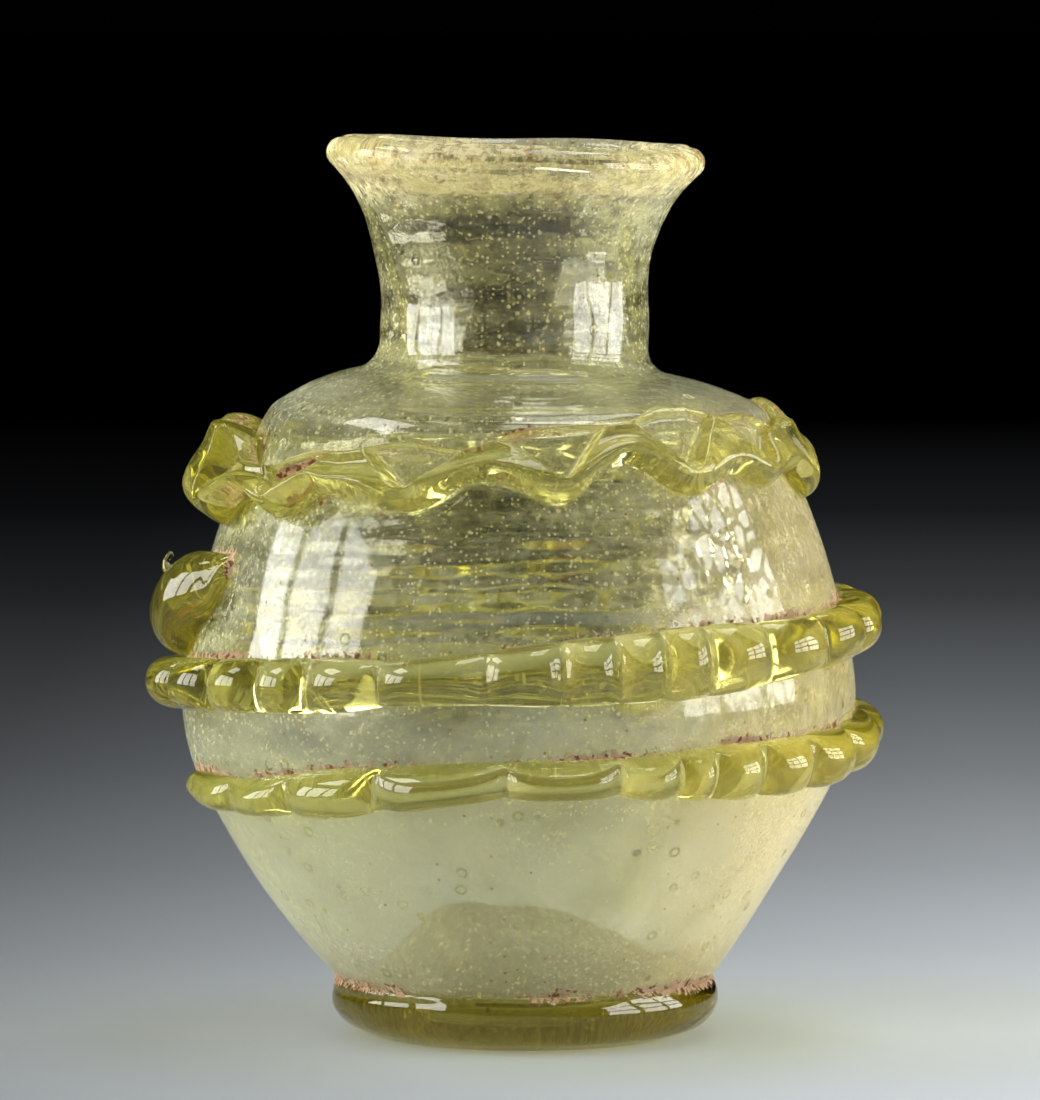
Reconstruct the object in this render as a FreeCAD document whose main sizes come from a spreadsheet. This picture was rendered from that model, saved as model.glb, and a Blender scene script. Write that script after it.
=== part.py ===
import FreeCAD, Part
import math
import os
import Sketcher

# A free-blown glass jar, built as it was made: the bubble with its pushed-in base,
# straight neck and flared lip, a coiled foot ring, the scar under the base, a wavy
# trail round the shoulder and a pinched spiral trail round the belly.
# Millimetres and degrees. +Z is up, the origin is the centre of the foot's resting face,
# +X is to the right as the jar is seen from the front, which faces -Y.

DRIVING = {
    "wall": 1.8,
    "overrun": 3.0,
    "seam_gap": 0.05,
    # Base of the bubble: the pushed-in kick, the narrow seat round it and the cone above
    "kick_radius": 16.5,
    "kick_rise": 11.0,
    "kick_wall": 2.1,
    "seat_width": 2.0,
    "seat_height": 3.0,
    "gutter_width": 1.3,
    "cone_run": 5.0,
    "cone_rise": 4.2,
    # Outline of the bubble, stretch by stretch from the cone to the neck: how far each one
    # runs out or in, how far it rises, and how far it bulges from the straight line
    "under_run": 16.57,
    "under_rise": 26.3,
    "under_bulge": 1.25,
    "belly_run": 1.53,
    "belly_rise": 12.1,
    "belly_bulge": 0.83,
    "high_run": 9.9,
    "high_rise": 31.4,
    "high_bulge": 1.31,
    "turn_run": 2.77,
    "turn_rise": 2.5,
    "turn_bulge": 0.34,
    "root_depth": 1.55,
    # Neck, flare and lip, measured along the neck's own leaning axis
    "neck_radius": 16.75,
    "neck_lean": 2.0,
    "neck_shift": 0.7,
    "neck_sink": 5.5,
    "neck_straight": 11.3,
    "neck_fillet": 2.6,
    "flare_run": 1.65,
    "flare_rise": 10.2,
    "swell_bulge": -0.47,
    "lip_run": 5.1,
    "lip_rise": 10.2,
    "splay_bulge": -0.52,
    "lip_bead": 1.9,
    # Foot ring
    "ring_ledge": 1.1,
    "ring_rest_inset": 0.4,
    "ring_rest_width": 1.6,
    "ring_bore_bulge": 0.6,
    "ring_foot_run": 2.3,
    "ring_foot_height": 0.8,
    "ring_proud": 0.8,
    "ring_bead_rise": 3.5,
    "ring_low_bulge": 0.68,
    "ring_neck_bulge": 0.26,
    # Scar where the working rod was broken away
    "scar_bore": 4.2,
    "scar_radius": 7.4,
    "scar_depth": 1.3,
    # Wavy trail round the shoulder: its top edge, its troughs and its crests
    "wave_clear": 0.4,
    "wave_height": 9.2,
    "wave_tilt": 2.3,
    "wave_swing": 3.4,
    "wave_scallop": 0.6,
    "wave_sway": 2.0,
    "wave_skin": 1.2,
    "wave_rope": 4.9,
    "wave_lean": 1.5,
    "wave_rim": 1.5,
    "wave_bridge": 1.9,
    # Pinched spiral trail round the belly
    "coil_below": 14.0,
    "coil_drop": 21.8,
    "coil_width": 6.6,
    "coil_pinch": 2.3,
    "coil_lobe": 4.9,
    "drop_width": 11.0,
    "drop_height": 5.7,
}

# How far the sloping shoulder rises towards the neck, as a share of its run
SLOPE_SHARE = 0.357

# Outward direction of the wall at each corner, as shares of the wall along the radius
# and along the height
WALL_SHARES = {
    "join": (0.75, -0.66),
    "low": (0.92, -0.39),
    "waist": (0.99, 0.15),
    "shoulder": (0.89, 0.45),
    "slope": (0.335, 0.94),
    "root": (0.335, 0.94),
    "flare": (0.93, -0.36),
}

# Where the rounded lip takes over from the flare, as shares of the bead's radius
BEAD_SHARES = (0.62, 0.78)

# How high the ring's bore bulges most, as a share of its seat's height
RING_BORE_SHARE = 0.47

# How deep the scar's outer edge is, as a share of its inner edge's depth
SCAR_EDGE_SHARE = 0.55

# Each arc of an outline, with the corners that it joins
STRETCHES = {
    "under": ("join", "low"),
    "belly": ("low", "waist"),
    "high": ("waist", "shoulder"),
    "turn": ("shoulder", "slope"),
    "swell": ("neck_top", "flare"),
    "splay": ("flare", "bead_under"),
    "ring_low": ("ring_foot", "ring_bead"),
    "ring_neck": ("ring_bead", "join"),
}

DERIVED = {
    "kick_height": "=seat_height + kick_rise",
    "kick_sphere": "=(kick_rise ^ 2 + kick_radius ^ 2) / (2 * kick_rise)",
    "kick_centre": "=kick_height - kick_sphere",
    "cavity_apex": "=kick_height + kick_wall",
    "gutter_height": "=seat_height + kick_wall",
    "gutter_radius": "=sqrt((kick_sphere + kick_wall) ^ 2 - (gutter_height - kick_centre) ^ 2)",
    "gutter_outer": "=gutter_radius + gutter_width",
    "seat_radius": "=kick_radius + seat_width",
    "join_radius": "=seat_radius + cone_run",
    "join_height": "=seat_height + cone_rise",
    "low_radius": "=join_radius + under_run",
    "low_height": "=join_height + under_rise",
    "waist_radius": "=low_radius + belly_run",
    "waist_height": "=low_height + belly_rise",
    "shoulder_radius": "=waist_radius - high_run",
    "shoulder_height": "=waist_height + high_rise",
    "slope_radius": "=shoulder_radius - turn_run",
    "slope_height": "=shoulder_height + turn_rise",
    "root_radius": "=neck_radius - root_depth",
    "root_height": "=slope_height + (slope_radius - root_radius) * %s" % SLOPE_SHARE,
    "neck_base": "=slope_height - neck_sink",
    "neck_top_radius": "=neck_radius",
    "neck_top_height": "=neck_sink + neck_straight",
    "bore_radius": "=neck_radius - wall",
    "flare_radius": "=neck_radius + flare_run",
    "flare_height": "=neck_top_height + flare_rise",
    "lip_radius": "=flare_radius + lip_run",
    "lip_height": "=flare_height + lip_rise",
    "bead_centre": "=lip_radius - lip_bead",
    "bead_height": "=lip_height - lip_bead",
    "bead_inner": "=bead_centre - lip_bead",
    "bead_under_radius": "=bead_centre + lip_bead * %s" % BEAD_SHARES[0],
    "bead_under_height": "=bead_height - lip_bead * %s" % BEAD_SHARES[1],
    "throat_radius": "=bead_centre - lip_bead * %s" % BEAD_SHARES[0],
    "mouth_top": "=lip_height + overrun",
    "ring_seat": "=seat_radius - ring_ledge",
    "ring_rest_radius": "=ring_seat - ring_rest_inset",
    "ring_rest_edge": "=ring_rest_radius + ring_rest_width",
    "ring_bore": "=ring_rest_radius - ring_bore_bulge",
    "ring_bore_height": "=seat_height * %s" % RING_BORE_SHARE,
    "ring_foot_radius": "=ring_rest_edge + ring_foot_run",
    "ring_bead_radius": "=join_radius + ring_proud",
    "ring_bead_height": "=ring_foot_height + ring_bead_rise",
    "scar_outer_top": "=kick_centre + sqrt(kick_sphere ^ 2 - scar_radius ^ 2)",
    "scar_inner_top": "=kick_centre + sqrt(kick_sphere ^ 2 - scar_bore ^ 2)",
    "scar_outer_foot": "=scar_outer_top - scar_depth * %s" % SCAR_EDGE_SHARE,
    "scar_inner_foot": "=scar_inner_top - scar_depth",
    "wave_high": "=slope_height - wave_tilt - wave_scallop - wave_clear",
    "wave_low": "=wave_high - wave_height",
    "coil_top": "=wave_low - coil_below",
}
for name, (a, b) in STRETCHES.items():
    run = "(%s_radius - %s_radius)" % (b, a)
    rise = "(%s_height - %s_height)" % (b, a)
    DERIVED[name + "_chord"] = "=sqrt(%s ^ 2 + %s ^ 2)" % (run, rise)
    DERIVED[name + "_radius"] = "=(%s_radius + %s_radius) / 2 + %s_bulge * %s / %s_chord" % (
        a, b, name, rise, name)
    DERIVED[name + "_height"] = "=(%s_height + %s_height) / 2 - %s_bulge * %s / %s_chord" % (
        a, b, name, run, name)
    DERIVED["inner_%s_radius" % name] = "=%s_radius - wall * %s / %s_chord" % (name, rise, name)
    DERIVED["inner_%s_height" % name] = "=%s_height + wall * %s / %s_chord" % (name, run, name)
for corner, (across, along) in WALL_SHARES.items():
    DERIVED["inner_%s_radius" % corner] = "=%s_radius - wall * (%s)" % (corner, across)
    DERIVED["inner_%s_height" % corner] = "=%s_height - wall * (%s)" % (corner, along)

doc = FreeCAD.newDocument("glass_jar")
sheet = doc.addObject("Spreadsheet::Sheet", "sizes")
for row, (name, value) in enumerate(list(DRIVING.items()) + list(DERIVED.items()), start=1):
    sheet.set("A%d" % row, name)
    sheet.set("B%d" % row, str(value))
    sheet.setAlias("B%d" % row, name)
doc.recompute()


def size(name):
    """The value of one named size."""
    return float(sheet.get(name))


def place(name):
    """A coordinate of an outline: the axis or the floor is zero, anything else is a size."""
    return 0.0 if name in ("axis", "floor") else size(name)


def bind(sketch, geometry, vertex, across, along):
    """Ties one point of a sketch to the named sizes."""
    for kind, name, line in (("DistanceX", across, -2), ("DistanceY", along, -1)):
        if name in ("axis", "floor"):
            sketch.addConstraint(Sketcher.Constraint("PointOnObject", geometry, vertex, line))
        else:
            number = sketch.addConstraint(
                Sketcher.Constraint(kind, -1, 1, geometry, vertex, size(name)))
            sketch.setExpression("Constraints[%d]" % number, "sizes." + name)


def arc_through(a, middle, b):
    """An arc of a circle from one point to another, always counter-clockwise in the sketch.
    Also says which of its ends is the first point."""
    circle = Part.Arc(a, middle, b).toShape().Curve
    centre = FreeCAD.Vector(circle.Center)
    turns = [math.atan2(p.y - centre.y, p.x - centre.x) for p in (a, middle, b)]
    forward = ((turns[1] - turns[0]) % math.tau) < ((turns[2] - turns[0]) % math.tau)
    first, last = (turns[0], turns[2]) if forward else (turns[2], turns[0])
    if last < first:
        last += math.tau
    flat = Part.Circle(centre, FreeCAD.Vector(0, 0, 1), circle.Radius)
    return Part.ArcOfCircle(flat, first, last), forward


def outline(body, name, corners):
    """A closed outline. A corner is (across, along), and a third entry makes the stretch
    that leads to it an arc: through a named point, or round a centre on the axis."""
    sketch = body.newObject("Sketcher::SketchObject", name)
    plane = [f for f in body.Origin.OriginFeatures if f.Role == "XZ_Plane"][0]
    sketch.AttachmentSupport = [(plane, "")]
    sketch.MapMode = "FlatFace"
    ends = []
    for before, corner in zip([corners[-1]] + corners[:-1], corners):
        a = FreeCAD.Vector(place(before[0]), place(before[1]), 0)
        b = FreeCAD.Vector(place(corner[0]), place(corner[1]), 0)
        forward = True
        if len(corner) == 2:
            curve = Part.LineSegment(a, b)
        elif corner[2] == "axis":
            level = (a.x ** 2 + a.y ** 2 - b.x ** 2 - b.y ** 2) / (a.y - b.y) / 2
            centre = FreeCAD.Vector(0, level, 0)
            reach = ((a + b) / 2 - centre).normalize() * (a - centre).Length
            curve, forward = arc_through(a, centre + reach, b)
        else:
            middle = FreeCAD.Vector(place(corner[2][0]), place(corner[2][1]), 0)
            curve, forward = arc_through(a, middle, b)
        sketch.addGeometry(curve, False)
        ends.append((1, 2) if forward else (2, 1))
    for i, corner in enumerate(corners):
        following = (i + 1) % len(corners)
        sketch.addConstraint(
            Sketcher.Constraint("Coincident", i, ends[i][1], following, ends[following][0]))
        bind(sketch, i, ends[i][1], corner[0], corner[1])
    for i, corner in enumerate(corners):
        if len(corner) == 3 and corner[2] == "axis":
            sketch.addConstraint(Sketcher.Constraint("PointOnObject", i, 3, -2))
        elif len(corner) == 3:
            across, along = corner[2]
            middle = FreeCAD.Vector(place(across), place(along), 0)
            point = sketch.addGeometry(Part.Point(middle), True)
            bind(sketch, point, 1, across, along)
            sketch.addConstraint(Sketcher.Constraint("PointOnObject", point, 1, i))
    doc.recompute()
    return sketch


def turned(body, kind, name, sketch):
    """A solid of revolution, added to or taken from its body."""
    feature = body.newObject("PartDesign::" + kind, name)
    feature.Profile = sketch
    feature.ReferenceAxis = (sketch, ["V_Axis"])
    feature.Angle = 360
    sketch.Visibility = False
    doc.recompute()
    return feature


def lean(sketch):
    """Sets a sketch on the neck's own axis."""
    sketch.setExpression(".AttachmentOffset.Base.x", "-sizes.neck_shift")
    sketch.setExpression(".AttachmentOffset.Base.y", "sizes.neck_base")
    sketch.setExpression(".AttachmentOffset.Rotation.Angle", "-sizes.neck_lean")
    doc.recompute()


def new_body(name):
    body = doc.addObject("PartDesign::Body", name)
    body.Label = name
    return body


# Bubble, neck and lip
vessel = new_body("vessel_body")
BUBBLE = [
    ("axis", "kick_height"),
    ("kick_radius", "seat_height", "axis"),
    ("seat_radius", "seat_height"),
    ("join_radius", "join_height"),
    ("low_radius", "low_height", ("under_radius", "under_height")),
    ("waist_radius", "waist_height", ("belly_radius", "belly_height")),
    ("shoulder_radius", "shoulder_height", ("high_radius", "high_height")),
    ("slope_radius", "slope_height", ("turn_radius", "turn_height")),
    ("root_radius", "root_height"),
    ("axis", "root_height"),
]
bubble_outline = outline(vessel, "bubble_outline", BUBBLE)
turned(vessel, "Revolution", "bubble", bubble_outline)
neck_outline = outline(vessel, "neck_outline", [
    ("axis", "floor"),
    ("neck_radius", "floor"),
    ("neck_radius", "neck_top_height"),
    ("flare_radius", "flare_height", ("swell_radius", "swell_height")),
    ("bead_under_radius", "bead_under_height", ("splay_radius", "splay_height")),
    ("bead_centre", "lip_height", ("lip_radius", "bead_height")),
    ("axis", "lip_height"),
])
lean(neck_outline)
neck = turned(vessel, "Revolution", "neck", neck_outline)


def neck_root_edge(shape):
    """The edge where the sloping shoulder meets the straight neck."""
    for number, edge in enumerate(shape.Edges, start=1):
        kinds = {type(face.Surface).__name__ for face in shape.ancestorsOfType(edge, Part.Face)}
        if kinds == {"Cone", "Cylinder"} and edge.CenterOfMass.z > size("slope_height"):
            return "Edge%d" % number
    raise RuntimeError("the neck does not meet the shoulder")


cove = vessel.newObject("PartDesign::Fillet", "neck_cove")
cove.Base = (neck, [neck_root_edge(neck.Shape)])
cove.setExpression("Radius", "sizes.neck_fillet")
doc.recompute()
cavity_outline = outline(vessel, "cavity_outline", [
    ("axis", "cavity_apex"),
    ("gutter_radius", "gutter_height", "axis"),
    ("gutter_outer", "gutter_height"),
    ("inner_join_radius", "inner_join_height"),
    ("inner_low_radius", "inner_low_height", ("inner_under_radius", "inner_under_height")),
    ("inner_waist_radius", "inner_waist_height", ("inner_belly_radius", "inner_belly_height")),
    ("inner_shoulder_radius", "inner_shoulder_height", ("inner_high_radius", "inner_high_height")),
    ("inner_slope_radius", "inner_slope_height", ("inner_turn_radius", "inner_turn_height")),
    ("inner_root_radius", "inner_root_height"),
    ("axis", "inner_root_height"),
])
turned(vessel, "Groove", "cavity", cavity_outline)
bore_outline = outline(vessel, "bore_outline", [
    ("axis", "floor"),
    ("bore_radius", "floor"),
    ("bore_radius", "neck_top_height"),
    ("inner_flare_radius", "inner_flare_height", ("inner_swell_radius", "inner_swell_height")),
    ("throat_radius", "bead_under_height", ("inner_splay_radius", "inner_splay_height")),
    ("bead_centre", "lip_height", ("bead_inner", "bead_height")),
    ("bead_centre", "mouth_top"),
    ("axis", "mouth_top"),
])
lean(bore_outline)
turned(vessel, "Groove", "bore", bore_outline)

# Foot ring, seated on the cone under the bubble
ring = new_body("base_ring")
ring_outline = outline(ring, "ring_outline", [
    ("ring_rest_radius", "floor", ("ring_bore", "ring_bore_height")),
    ("ring_rest_edge", "floor"),
    ("ring_foot_radius", "ring_foot_height"),
    ("ring_bead_radius", "ring_bead_height", ("ring_low_radius", "ring_low_height")),
    ("join_radius", "join_height", ("ring_neck_radius", "ring_neck_height")),
    ("seat_radius", "seat_height"),
    ("ring_seat", "seat_height"),
])
turned(ring, "Revolution", "ring", ring_outline)

# Scar of the working rod, under the middle of the pushed-in base
scar = new_body("pontil_scar")
scar_outline = outline(scar, "scar_outline", [
    ("scar_bore", "scar_inner_top"),
    ("scar_bore", "scar_inner_foot"),
    ("scar_radius", "scar_outer_foot"),
    ("scar_radius", "scar_outer_top"),
])
turned(scar, "Revolution", "scar", scar_outline)


# Trails. Their backs follow the bubble's outline, read from its solved sketch.
WALL_ARCS = [bubble_outline.Geometry[i] for i, corner in enumerate(BUBBLE)
             if len(corner) == 3 and corner[2] != "axis"]


def wall_at(height, lift):
    """Radius and height of a point that stands off the bubble's wall by a lift."""
    for arc in WALL_ARCS:
        if height <= max(arc.StartPoint.y, arc.EndPoint.y):
            break
    along = (height - arc.Center.y) / arc.Radius
    across = math.sqrt(1 - along ** 2)
    reach = arc.Radius + lift
    return arc.Center.x + across * reach, arc.Center.y + along * reach


def poles_at(turn, outline_points):
    """Poles of one station of a trail, from (height, lift) pairs, at a share of a full turn."""
    angle = math.tau * turn
    poles = []
    for height, lift in outline_points:
        radius, level = wall_at(height, lift)
        poles.append(FreeCAD.Vector(radius * math.cos(angle), radius * math.sin(angle), level))
    return poles


def skin(rows, closed):
    """A cubic B-spline face with the given rows of poles, closed round or open."""
    along = len(rows)
    across = len(rows[0])
    if closed:
        turns = [1] * (along + 1)
    else:
        turns = [4] + [1] * (along - 4) + [4]
    steps = [4] + [1] * (across - 4) + [4]
    surface = Part.BSplineSurface()
    surface.buildFromPolesMultsKnots(
        rows, turns, steps, list(range(len(turns))), list(range(len(steps))), closed, False, 3, 3)
    return surface.toShape()


BACK_STEPS = 16


def trail(name, stations, closed):
    """A trail of glass laid on the bubble. A station is (share of a turn, top height,
    low height, [(share of the way down, lift), ...]); its back lies on the wall."""
    gap = size("seam_gap")
    fronts = []
    backs = []
    for turn, top, low, profile in stations:
        front = [(top + (low - top) * share, gap + lift) for share, lift in profile]
        back = [(top + (low - top) * step / BACK_STEPS, gap) for step in range(BACK_STEPS + 1)]
        fronts.append(poles_at(turn, front))
        backs.append(poles_at(turn, back))
    faces = [skin(fronts, closed), skin(backs, closed)]
    if not closed:
        for row in (0, -1):
            rim = [nearest_edge(face, fronts[row][0], fronts[row][-1]) for face in faces]
            faces.append(Part.Face(Part.Wire(Part.__sortEdges__(rim))))
    shell = Part.makeShell(faces)
    shell.sewShape()
    solid = Part.makeSolid(shell)
    if solid.Volume < 0:
        solid.reverse()
    feature = doc.addObject("Part::Feature", name)
    feature.Label = name
    feature.Shape = solid
    feature.Placement = FreeCAD.Placement()
    return feature


def nearest_edge(face, a, b):
    """The edge of a face that runs between two points."""
    def miss(edge):
        ends = [v.Point for v in edge.Vertexes]
        return min((ends[0] - a).Length + (ends[-1] - b).Length,
                   (ends[0] - b).Length + (ends[-1] - a).Length)
    return min(face.Edges, key=miss)


def along_table(table, at):
    """A value on the smooth curve through a table of (place, value) that never overshoots."""
    slopes = [(b[1] - a[1]) / (b[0] - a[0]) for a, b in zip(table, table[1:])]
    bends = [2 * a * b / (a + b) if a * b > 0 else 0.0 for a, b in zip(slopes, slopes[1:])]
    bends = [slopes[0]] + bends + [slopes[-1]]
    for i, ((place_a, value_a), (place_b, value_b)) in enumerate(zip(table, table[1:])):
        if at <= place_b:
            step = place_b - place_a
            share = max(0.0, (at - place_a) / step)
            rest = 1 - share
            return (value_a * rest * rest * (1 + 2 * share) + value_b * share * share * (3 - 2 * share)
                    + step * share * rest * (bends[i] * rest - bends[i + 1] * share))
    return table[-1][1]


def bump(at, centre, half_width):
    """A rounded bump of height one."""
    away = abs(at - centre) / half_width
    return math.cos(away * math.pi / 2) ** 2 if away < 1 else 0.0


# Troughs of the shoulder trail, in shares of a full turn from +X towards the front
WAVE_TROUGH_SHARES = [0.03, 0.09, 0.153, 0.226, 0.309, 0.386, 0.447,
                      0.517, 0.589, 0.661, 0.733, 0.806, 0.878, 0.958]
# How far the trail's top and low edges stray from an even wave, in shares of the sway
WAVE_TOP_SHARES = [(0, -1.0), (0.045, -1.0), (0.09, -0.4), (0.14, 0.6), (0.19, 0.45), (0.225, 0.1),
                   (0.25, 0.25), (0.285, -0.55), (0.335, -0.1), (0.365, -0.4), (0.4, -1.3), (0.43, -1.1),
                   (0.475, 1.0), (0.52, 1.0), (0.6, 0), (0.92, 0), (1, -1.0)]
WAVE_LOW_SHARES = [(0, -0.8), (0.03, -1.0), (0.06, -0.9), (0.09, 0.15), (0.125, -0.6), (0.153, 0.2),
                   (0.205, 0.8), (0.226, 0.4), (0.262, 0.3), (0.309, 0.35), (0.3475, -0.45), (0.365, 0.45),
                   (0.386, 0.1), (0.447, -0.45), (0.52, -0.5), (0.6, 0), (0.92, 0), (1, -0.8)]
WAVE_COUNT = 144
WAVE_DOWN_SHARES = [0.0, 0.0, 0.07, 0.17, 0.31, 0.46, 0.61, 0.74, 0.86, 0.96, 1.0, 1.0]
# Middle and half width of the trail's rim, bridges and rope, as shares of the way down
WAVE_RIM_SHARES = (0.12, 0.16)
WAVE_BRIDGE_SHARES = (0.40, 0.42)
WAVE_ROPE_SHARES = (0.78, 0.30)


def wave(turn):
    """One at a trough, minus one at a crest."""
    places = [WAVE_TROUGH_SHARES[-1] - 1] + WAVE_TROUGH_SHARES + [WAVE_TROUGH_SHARES[0] + 1]
    for a, b in zip(places, places[1:]):
        if a <= turn <= b:
            return math.cos(math.tau * (turn - a) / (b - a))


def wave_station(turn):
    """One station of the shoulder trail, at a share of a turn from +X towards the front."""
    swing = wave(turn)
    lean_share = math.cos(math.tau * turn)
    tilt = size("wave_tilt") * lean_share
    top = size("wave_high") + tilt + size("wave_scallop") * swing
    top += size("wave_sway") * along_table(WAVE_TOP_SHARES, turn)
    top = min(top, size("slope_height") - size("wave_clear"))
    low = size("wave_low") + tilt + size("wave_swing") * (1 - swing) / 2
    low += size("wave_sway") * along_table(WAVE_LOW_SHARES, turn)
    rope = size("wave_rope") - size("wave_lean") * lean_share
    bridge = size("wave_bridge") * (1 - swing) / 2
    profile = []
    for share in WAVE_DOWN_SHARES:
        lift = size("wave_skin")
        lift += size("wave_rim") * bump(share, *WAVE_RIM_SHARES)
        lift += bridge * bump(share, *WAVE_BRIDGE_SHARES)
        lift += (rope - size("wave_skin")) * bump(share, *WAVE_ROPE_SHARES)
        profile.append((share, lift))
    profile[0] = (profile[0][0], 0.0)
    profile[-1] = (profile[-1][0], 0.0)
    return -turn, top, low, profile


trail("shoulder_trail", [wave_station(i / WAVE_COUNT) for i in range(WAVE_COUNT)], True)

# Spiral trail. Its places are in turns wound from the left, backwards round the bubble.
# How far down, how wide, how much of the first drop, and how thick it is
COIL_FALL_SHARES = [
    (-0.068, -0.345), (-0.06, -0.23), (-0.05, -0.165), (-0.04, -0.115), (-0.03, -0.055), (-0.015, -0.03),
    (0, -0.01), (0.033, 0.0), (0.111, 0.018), (0.25, 0.028), (0.5, 0.064), (0.6, 0.128), (0.75, 0.225),
    (0.833, 0.29), (0.917, 0.35), (1.0, 0.41), (1.25, 0.565), (1.5, 0.70), (1.6, 0.757), (1.75, 0.78),
    (1.842, 0.878), (1.885, 0.93), (1.917, 0.955), (1.95, 0.953), (2.0, 0.984)]
COIL_WIDTH_SHARES = [
    (0, 1.0), (0.5, 1.0), (0.6, 1.06), (0.664, 1.28), (0.722, 1.2), (0.772, 0.95), (0.806, 0.84),
    (0.844, 1.0), (0.939, 0.96), (1.0, 0.9), (1.111, 1.0), (1.5, 1.0), (1.556, 0.88), (1.583, 0.95),
    (1.644, 0.93), (1.694, 0.68), (1.735, 0.6), (1.778, 0.66), (1.842, 0.8), (1.872, 0.68),
    (1.9, 0.6), (1.93, 0.6), (1.955, 0.55), (1.98, 0.42), (2.0, 0.16)]
COIL_DROP_SHARES = [(-0.068, -1.14), (-0.06, -0.18), (-0.05, 0.41), (-0.04, 0.86), (-0.03, 1.32),
                    (-0.015, 1.23), (0, 0.86), (0.033, 0.27), (0.1, 0.0)]
COIL_LIFT_SHARES = [(-0.068, 0.12), (-0.06, 0.55), (-0.045, 0.9), (-0.03, 1.0), (1.42, 1.0), (1.52, 0.84),
                    (1.6, 1.0), (1.806, 1.0), (1.889, 0.8), (1.944, 0.62), (1.985, 0.5), (2.0, 0.2)]
COIL_LOBE_SHARES = ([0.0722 + 0.0347 * i for i in range(13)]
                    + [0.528, 0.564, 0.603, 0.647, 0.672, 0.692, 0.719, 0.742, 0.786,
                       0.839, 0.858, 0.897, 0.928, 0.975]
                    + [1.011 + 0.0361 * i for i in range(14)]
                    + [1.531, 1.583, 1.611, 1.65, 1.667, 1.683, 1.725, 1.786, 1.844, 1.889, 1.933])
LOBE_REACH_SHARE = 0.018
COIL_COUNT = 300
COIL_PROFILE_SHARES = [(0.0, 0.0), (0.0, 0.55), (0.1, 0.95), (0.33, 1.08), (0.67, 1.08), (0.9, 0.95),
                       (1.0, 0.55), (1.0, 0.0)]


def coil_station(turn):
    """One station of the spiral trail, after so many turns of winding."""
    drop = along_table(COIL_DROP_SHARES, turn)
    level = size("coil_top") - size("coil_drop") * along_table(COIL_FALL_SHARES, turn)
    width = (size("coil_width") * along_table(COIL_WIDTH_SHARES, turn)
             + (size("drop_width") - size("coil_width")) * drop)
    lobe = max(bump(turn, centre, LOBE_REACH_SHARE) for centre in COIL_LOBE_SHARES)
    lift = size("coil_pinch") + (size("coil_lobe") - size("coil_pinch")) * lobe
    lift += (size("drop_height") - lift) * min(1.0, max(0.0, drop))
    lift *= along_table(COIL_LIFT_SHARES, turn)
    profile = [(s, lift * share) for s, share in COIL_PROFILE_SHARES]
    return 0.5 - turn, level + width / 2, level - width / 2, profile


COIL_START = COIL_FALL_SHARES[0][0]
COIL_SPAN = COIL_FALL_SHARES[-1][0] - COIL_START
trail("body_trail", [coil_station(COIL_START + COIL_SPAN * i / COIL_COUNT)
                     for i in range(COIL_COUNT + 1)], False)

# Check and write
doc.recompute()
for item in doc.Objects:
    if "Invalid" in item.State or "Error" in item.State:
        raise RuntimeError("%s failed: %s" % (item.Name, item.State))
os.makedirs("parts", exist_ok=True)
NODES = ["vessel_body", "base_ring", "pontil_scar", "shoulder_trail", "body_trail"]
for label in NODES:
    shape = doc.getObjectsByLabel(label)[0].Shape
    if shape.isNull() or not shape.isValid() or not shape.isClosed():
        raise RuntimeError("%s is not a sound solid" % label)
    shape.exportStep("parts/%s.step" % label)
    box = shape.optimalBoundingBox()
    print("%-15s solids %d faces %3d volume %9.1f mm3, from (%.1f, %.1f, %.1f) to (%.1f, %.1f, %.1f)" % (
        label, len(shape.Solids), len(shape.Faces), shape.Volume,
        box.XMin, box.YMin, box.ZMin, box.XMax, box.YMax, box.ZMax))
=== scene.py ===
import math
import random

import bpy
import numpy as np
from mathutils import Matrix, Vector


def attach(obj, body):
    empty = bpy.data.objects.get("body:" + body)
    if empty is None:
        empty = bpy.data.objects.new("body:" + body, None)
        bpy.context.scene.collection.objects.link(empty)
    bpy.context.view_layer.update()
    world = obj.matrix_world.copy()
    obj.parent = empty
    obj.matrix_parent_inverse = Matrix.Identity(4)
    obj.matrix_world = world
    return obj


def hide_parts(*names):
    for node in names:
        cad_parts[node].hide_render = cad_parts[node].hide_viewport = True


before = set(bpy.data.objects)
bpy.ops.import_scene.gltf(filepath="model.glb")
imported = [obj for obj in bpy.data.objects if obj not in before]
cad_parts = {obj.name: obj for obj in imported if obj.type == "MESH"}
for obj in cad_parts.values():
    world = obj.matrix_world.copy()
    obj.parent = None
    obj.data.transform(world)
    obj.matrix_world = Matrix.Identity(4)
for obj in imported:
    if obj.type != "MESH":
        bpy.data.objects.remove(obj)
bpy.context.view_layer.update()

MM = 0.001

# Outline of the bubble, millimetres from the axis and above the foot
KICK_RADIUS = 16.5
KICK_HEIGHT = 14.0
KICK_WALL = 2.1
SEAT = (18.5, 3.0)
JOIN = (23.5, 7.2)
UNDER = (32.45, 19.7)
LOW = (40.07, 33.5)
BELLY = (41.84, 42.0)
WAIST = (41.6, 45.6)
HIGH = (37.9, 61.7)
SHOULDER = (31.7, 77.0)
TURN = (30.55, 78.5)
SLOPE = (28.93, 79.5)
SLOPE_MID = (24.4, 81.5)
COVE_OUT = (19.6, 82.8)
COVE_MID = (17.6, 84.0)
COVE_IN = (16.78, 86.4)
WALL = 1.8

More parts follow.
